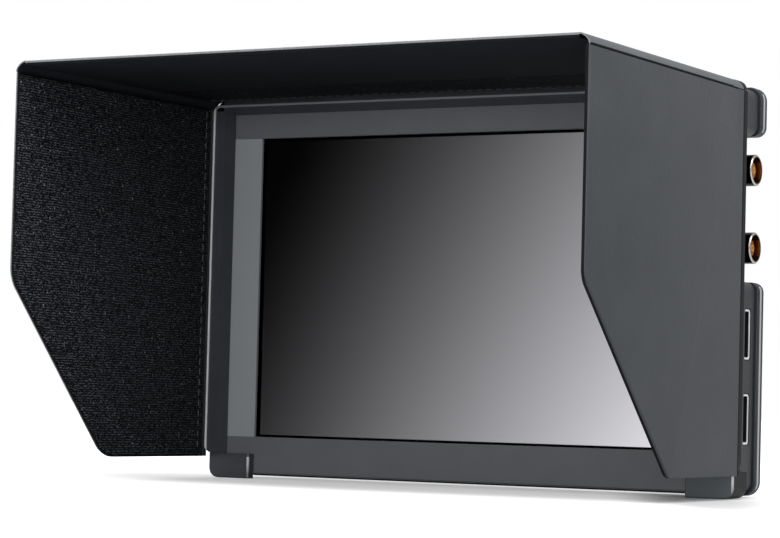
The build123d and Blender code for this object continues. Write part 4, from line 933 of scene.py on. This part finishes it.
# The floor is painted paper. It glows a little for the camera, and less round the monitor's foot, so
# that a soft painted shade lies under the foot.
floor_paint, tree, shader, place = new_finish("Matt white studio floor", 0.8)
rays = add(tree, "ShaderNodeLightPath")
paint = add(tree, "ShaderNodeMix", {"data_type": "RGBA"}, {
    "Factor": rays.outputs["Is Camera Ray"], "A": linear("#cccccc"), "B": linear("#f2f2f2")})
tree.links.new(paint.outputs["Result"], shader.inputs["Base Color"])
from_foot = add(tree, "ShaderNodeVectorMath", {"operation": "MULTIPLY"}, {
    0: place, 1: (1 / SHADED_SIDE, 1 / SHADED_FRONT, 0)})
away = add(tree, "ShaderNodeVectorMath", {"operation": "LENGTH"}, {0: from_foot.outputs["Vector"]})
whiter = add(tree, "ShaderNodeMapRange", {"interpolation_type": "SMOOTHSTEP"}, {
    "Value": away.outputs["Value"], "From Min": SHADED_FROM, "From Max": SHADED_TO,
    "To Min": SHADED_GLOW, "To Max": OPEN_GLOW})
# Another soft shade is laid into the glow in front of the right clip, where no lamp casts one.
from_clip = add(tree, "ShaderNodeMapping", {"vector_type": "TEXTURE"}, {
    "Vector": place, "Location": CLIP_SHADE_AT, "Rotation": CLIP_SHADE_TURN, "Scale": CLIP_SHADE_SIZE})
beside = add(tree, "ShaderNodeVectorMath", {"operation": "LENGTH"}, {0: from_clip.outputs["Vector"]})
clear = add(tree, "ShaderNodeMapRange", {"interpolation_type": "SMOOTHSTEP"}, {
    "Value": beside.outputs["Value"], "From Min": CLIP_SHADE_CORE, "From Max": 1.0})
glow = add(tree, "ShaderNodeMath", {"operation": "MULTIPLY"}, {
    0: whiter.outputs["Result"], 1: clear.outputs["Result"]})
lift = add(tree, "ShaderNodeEmission", None, {"Color": (1, 1, 1, 1), "Strength": glow.outputs[0]})
both = add(tree, "ShaderNodeAddShader", None, {0: shader.outputs["BSDF"], 1: lift.outputs["Emission"]})
seen = add(tree, "ShaderNodeMixShader", None, {
    "Fac": rays.outputs["Is Camera Ray"], 1: shader.outputs["BSDF"], 2: both.outputs["Shader"]})
tree.links.new(seen.outputs["Shader"], tree.nodes["Material Output"].inputs["Surface"])
floor.data.materials.append(floor_paint)

world = bpy.context.scene.world or bpy.data.worlds.new("Studio")
bpy.context.scene.world = world
world.use_nodes = True
tree = world.node_tree
tree.nodes.clear()
rays = add(tree, "ShaderNodeLightPath")
plain = add(tree, "ShaderNodeBackground", None, {"Color": (1, 1, 1, 1), "Strength": ROOM_LIGHT})
white = add(tree, "ShaderNodeBackground", None, {"Color": (1, 1, 1, 1), "Strength": 1.0})
seen = add(tree, "ShaderNodeMixShader", None, {
    "Fac": rays.outputs["Is Camera Ray"], 1: plain.outputs["Background"], 2: white.outputs["Background"]})
add(tree, "ShaderNodeOutputWorld", None, {"Surface": seen.outputs["Shader"]})


def softbox(name, spot, target, size, power):
    """An area lamp of a width and height, looking at a target."""
    data = bpy.data.lights.new(name, "AREA")
    data.shape = "RECTANGLE"
    data.size, data.size_y = size
    data.energy = power
    lamp = bpy.data.objects.new(name, data)
    bpy.context.scene.collection.objects.link(lamp)
    lamp.location = spot
    lamp.rotation_euler = (Vector(target) - Vector(spot)).to_track_quat("-Z", "Y").to_euler()


softbox("key_softbox", (1.2, -0.95, 0.7), AIM, size=(0.8, 0.8), power=3)
softbox("near_softbox", (0.5, 0.04, 0.4), (0.09, -0.03, 0.09), size=(0.25, 0.25), power=0.5)
softbox("low_strip_light", (0.45, -1.58, 0.12), AIM, size=(1.5, 0.24), power=8.5)
softbox("top_softbox", (0.25, -0.35, 1.35), AIM, size=(1.0, 1.0), power=12)

# ------------------------------------------------------------------------------------------------
# Camera: a long lens, low and to the right of the screen, tilted slightly up and rolled a little.
# It shows the screen inside the open flaps, and the jacks and sockets on the right side.
# ------------------------------------------------------------------------------------------------
CAMERA_AT = Vector((0.3939411, -0.7507318, 0.0247986))
YAW, PITCH, ROLL = 0.5181833, 0.0501314, 0.0255779
FOCAL_PX = 2650.2691
FRAME_PX = 780
SENSOR = 36.0
NEAREST = 0.01

forward = Vector((-math.sin(YAW) * math.cos(PITCH), math.cos(YAW) * math.cos(PITCH), math.sin(PITCH)))
right = Vector((math.cos(YAW), math.sin(YAW), 0))
up = right.cross(forward)
tilted_right = right * math.cos(ROLL) + up * math.sin(ROLL)
tilted_up = up * math.cos(ROLL) - right * math.sin(ROLL)
lens = bpy.data.cameras.new("studio_camera")
lens.sensor_width = SENSOR
lens.lens = FOCAL_PX * SENSOR / FRAME_PX
lens.clip_start = NEAREST
camera = bpy.data.objects.new("studio_camera", lens)
bpy.context.scene.collection.objects.link(camera)
turned = Matrix((tilted_right, tilted_up, -forward)).transposed().to_4x4()
camera.matrix_world = Matrix.Translation(CAMERA_AT) @ turned
bpy.context.scene.camera = camera
bpy.context.scene.view_settings.view_transform = "Standard"
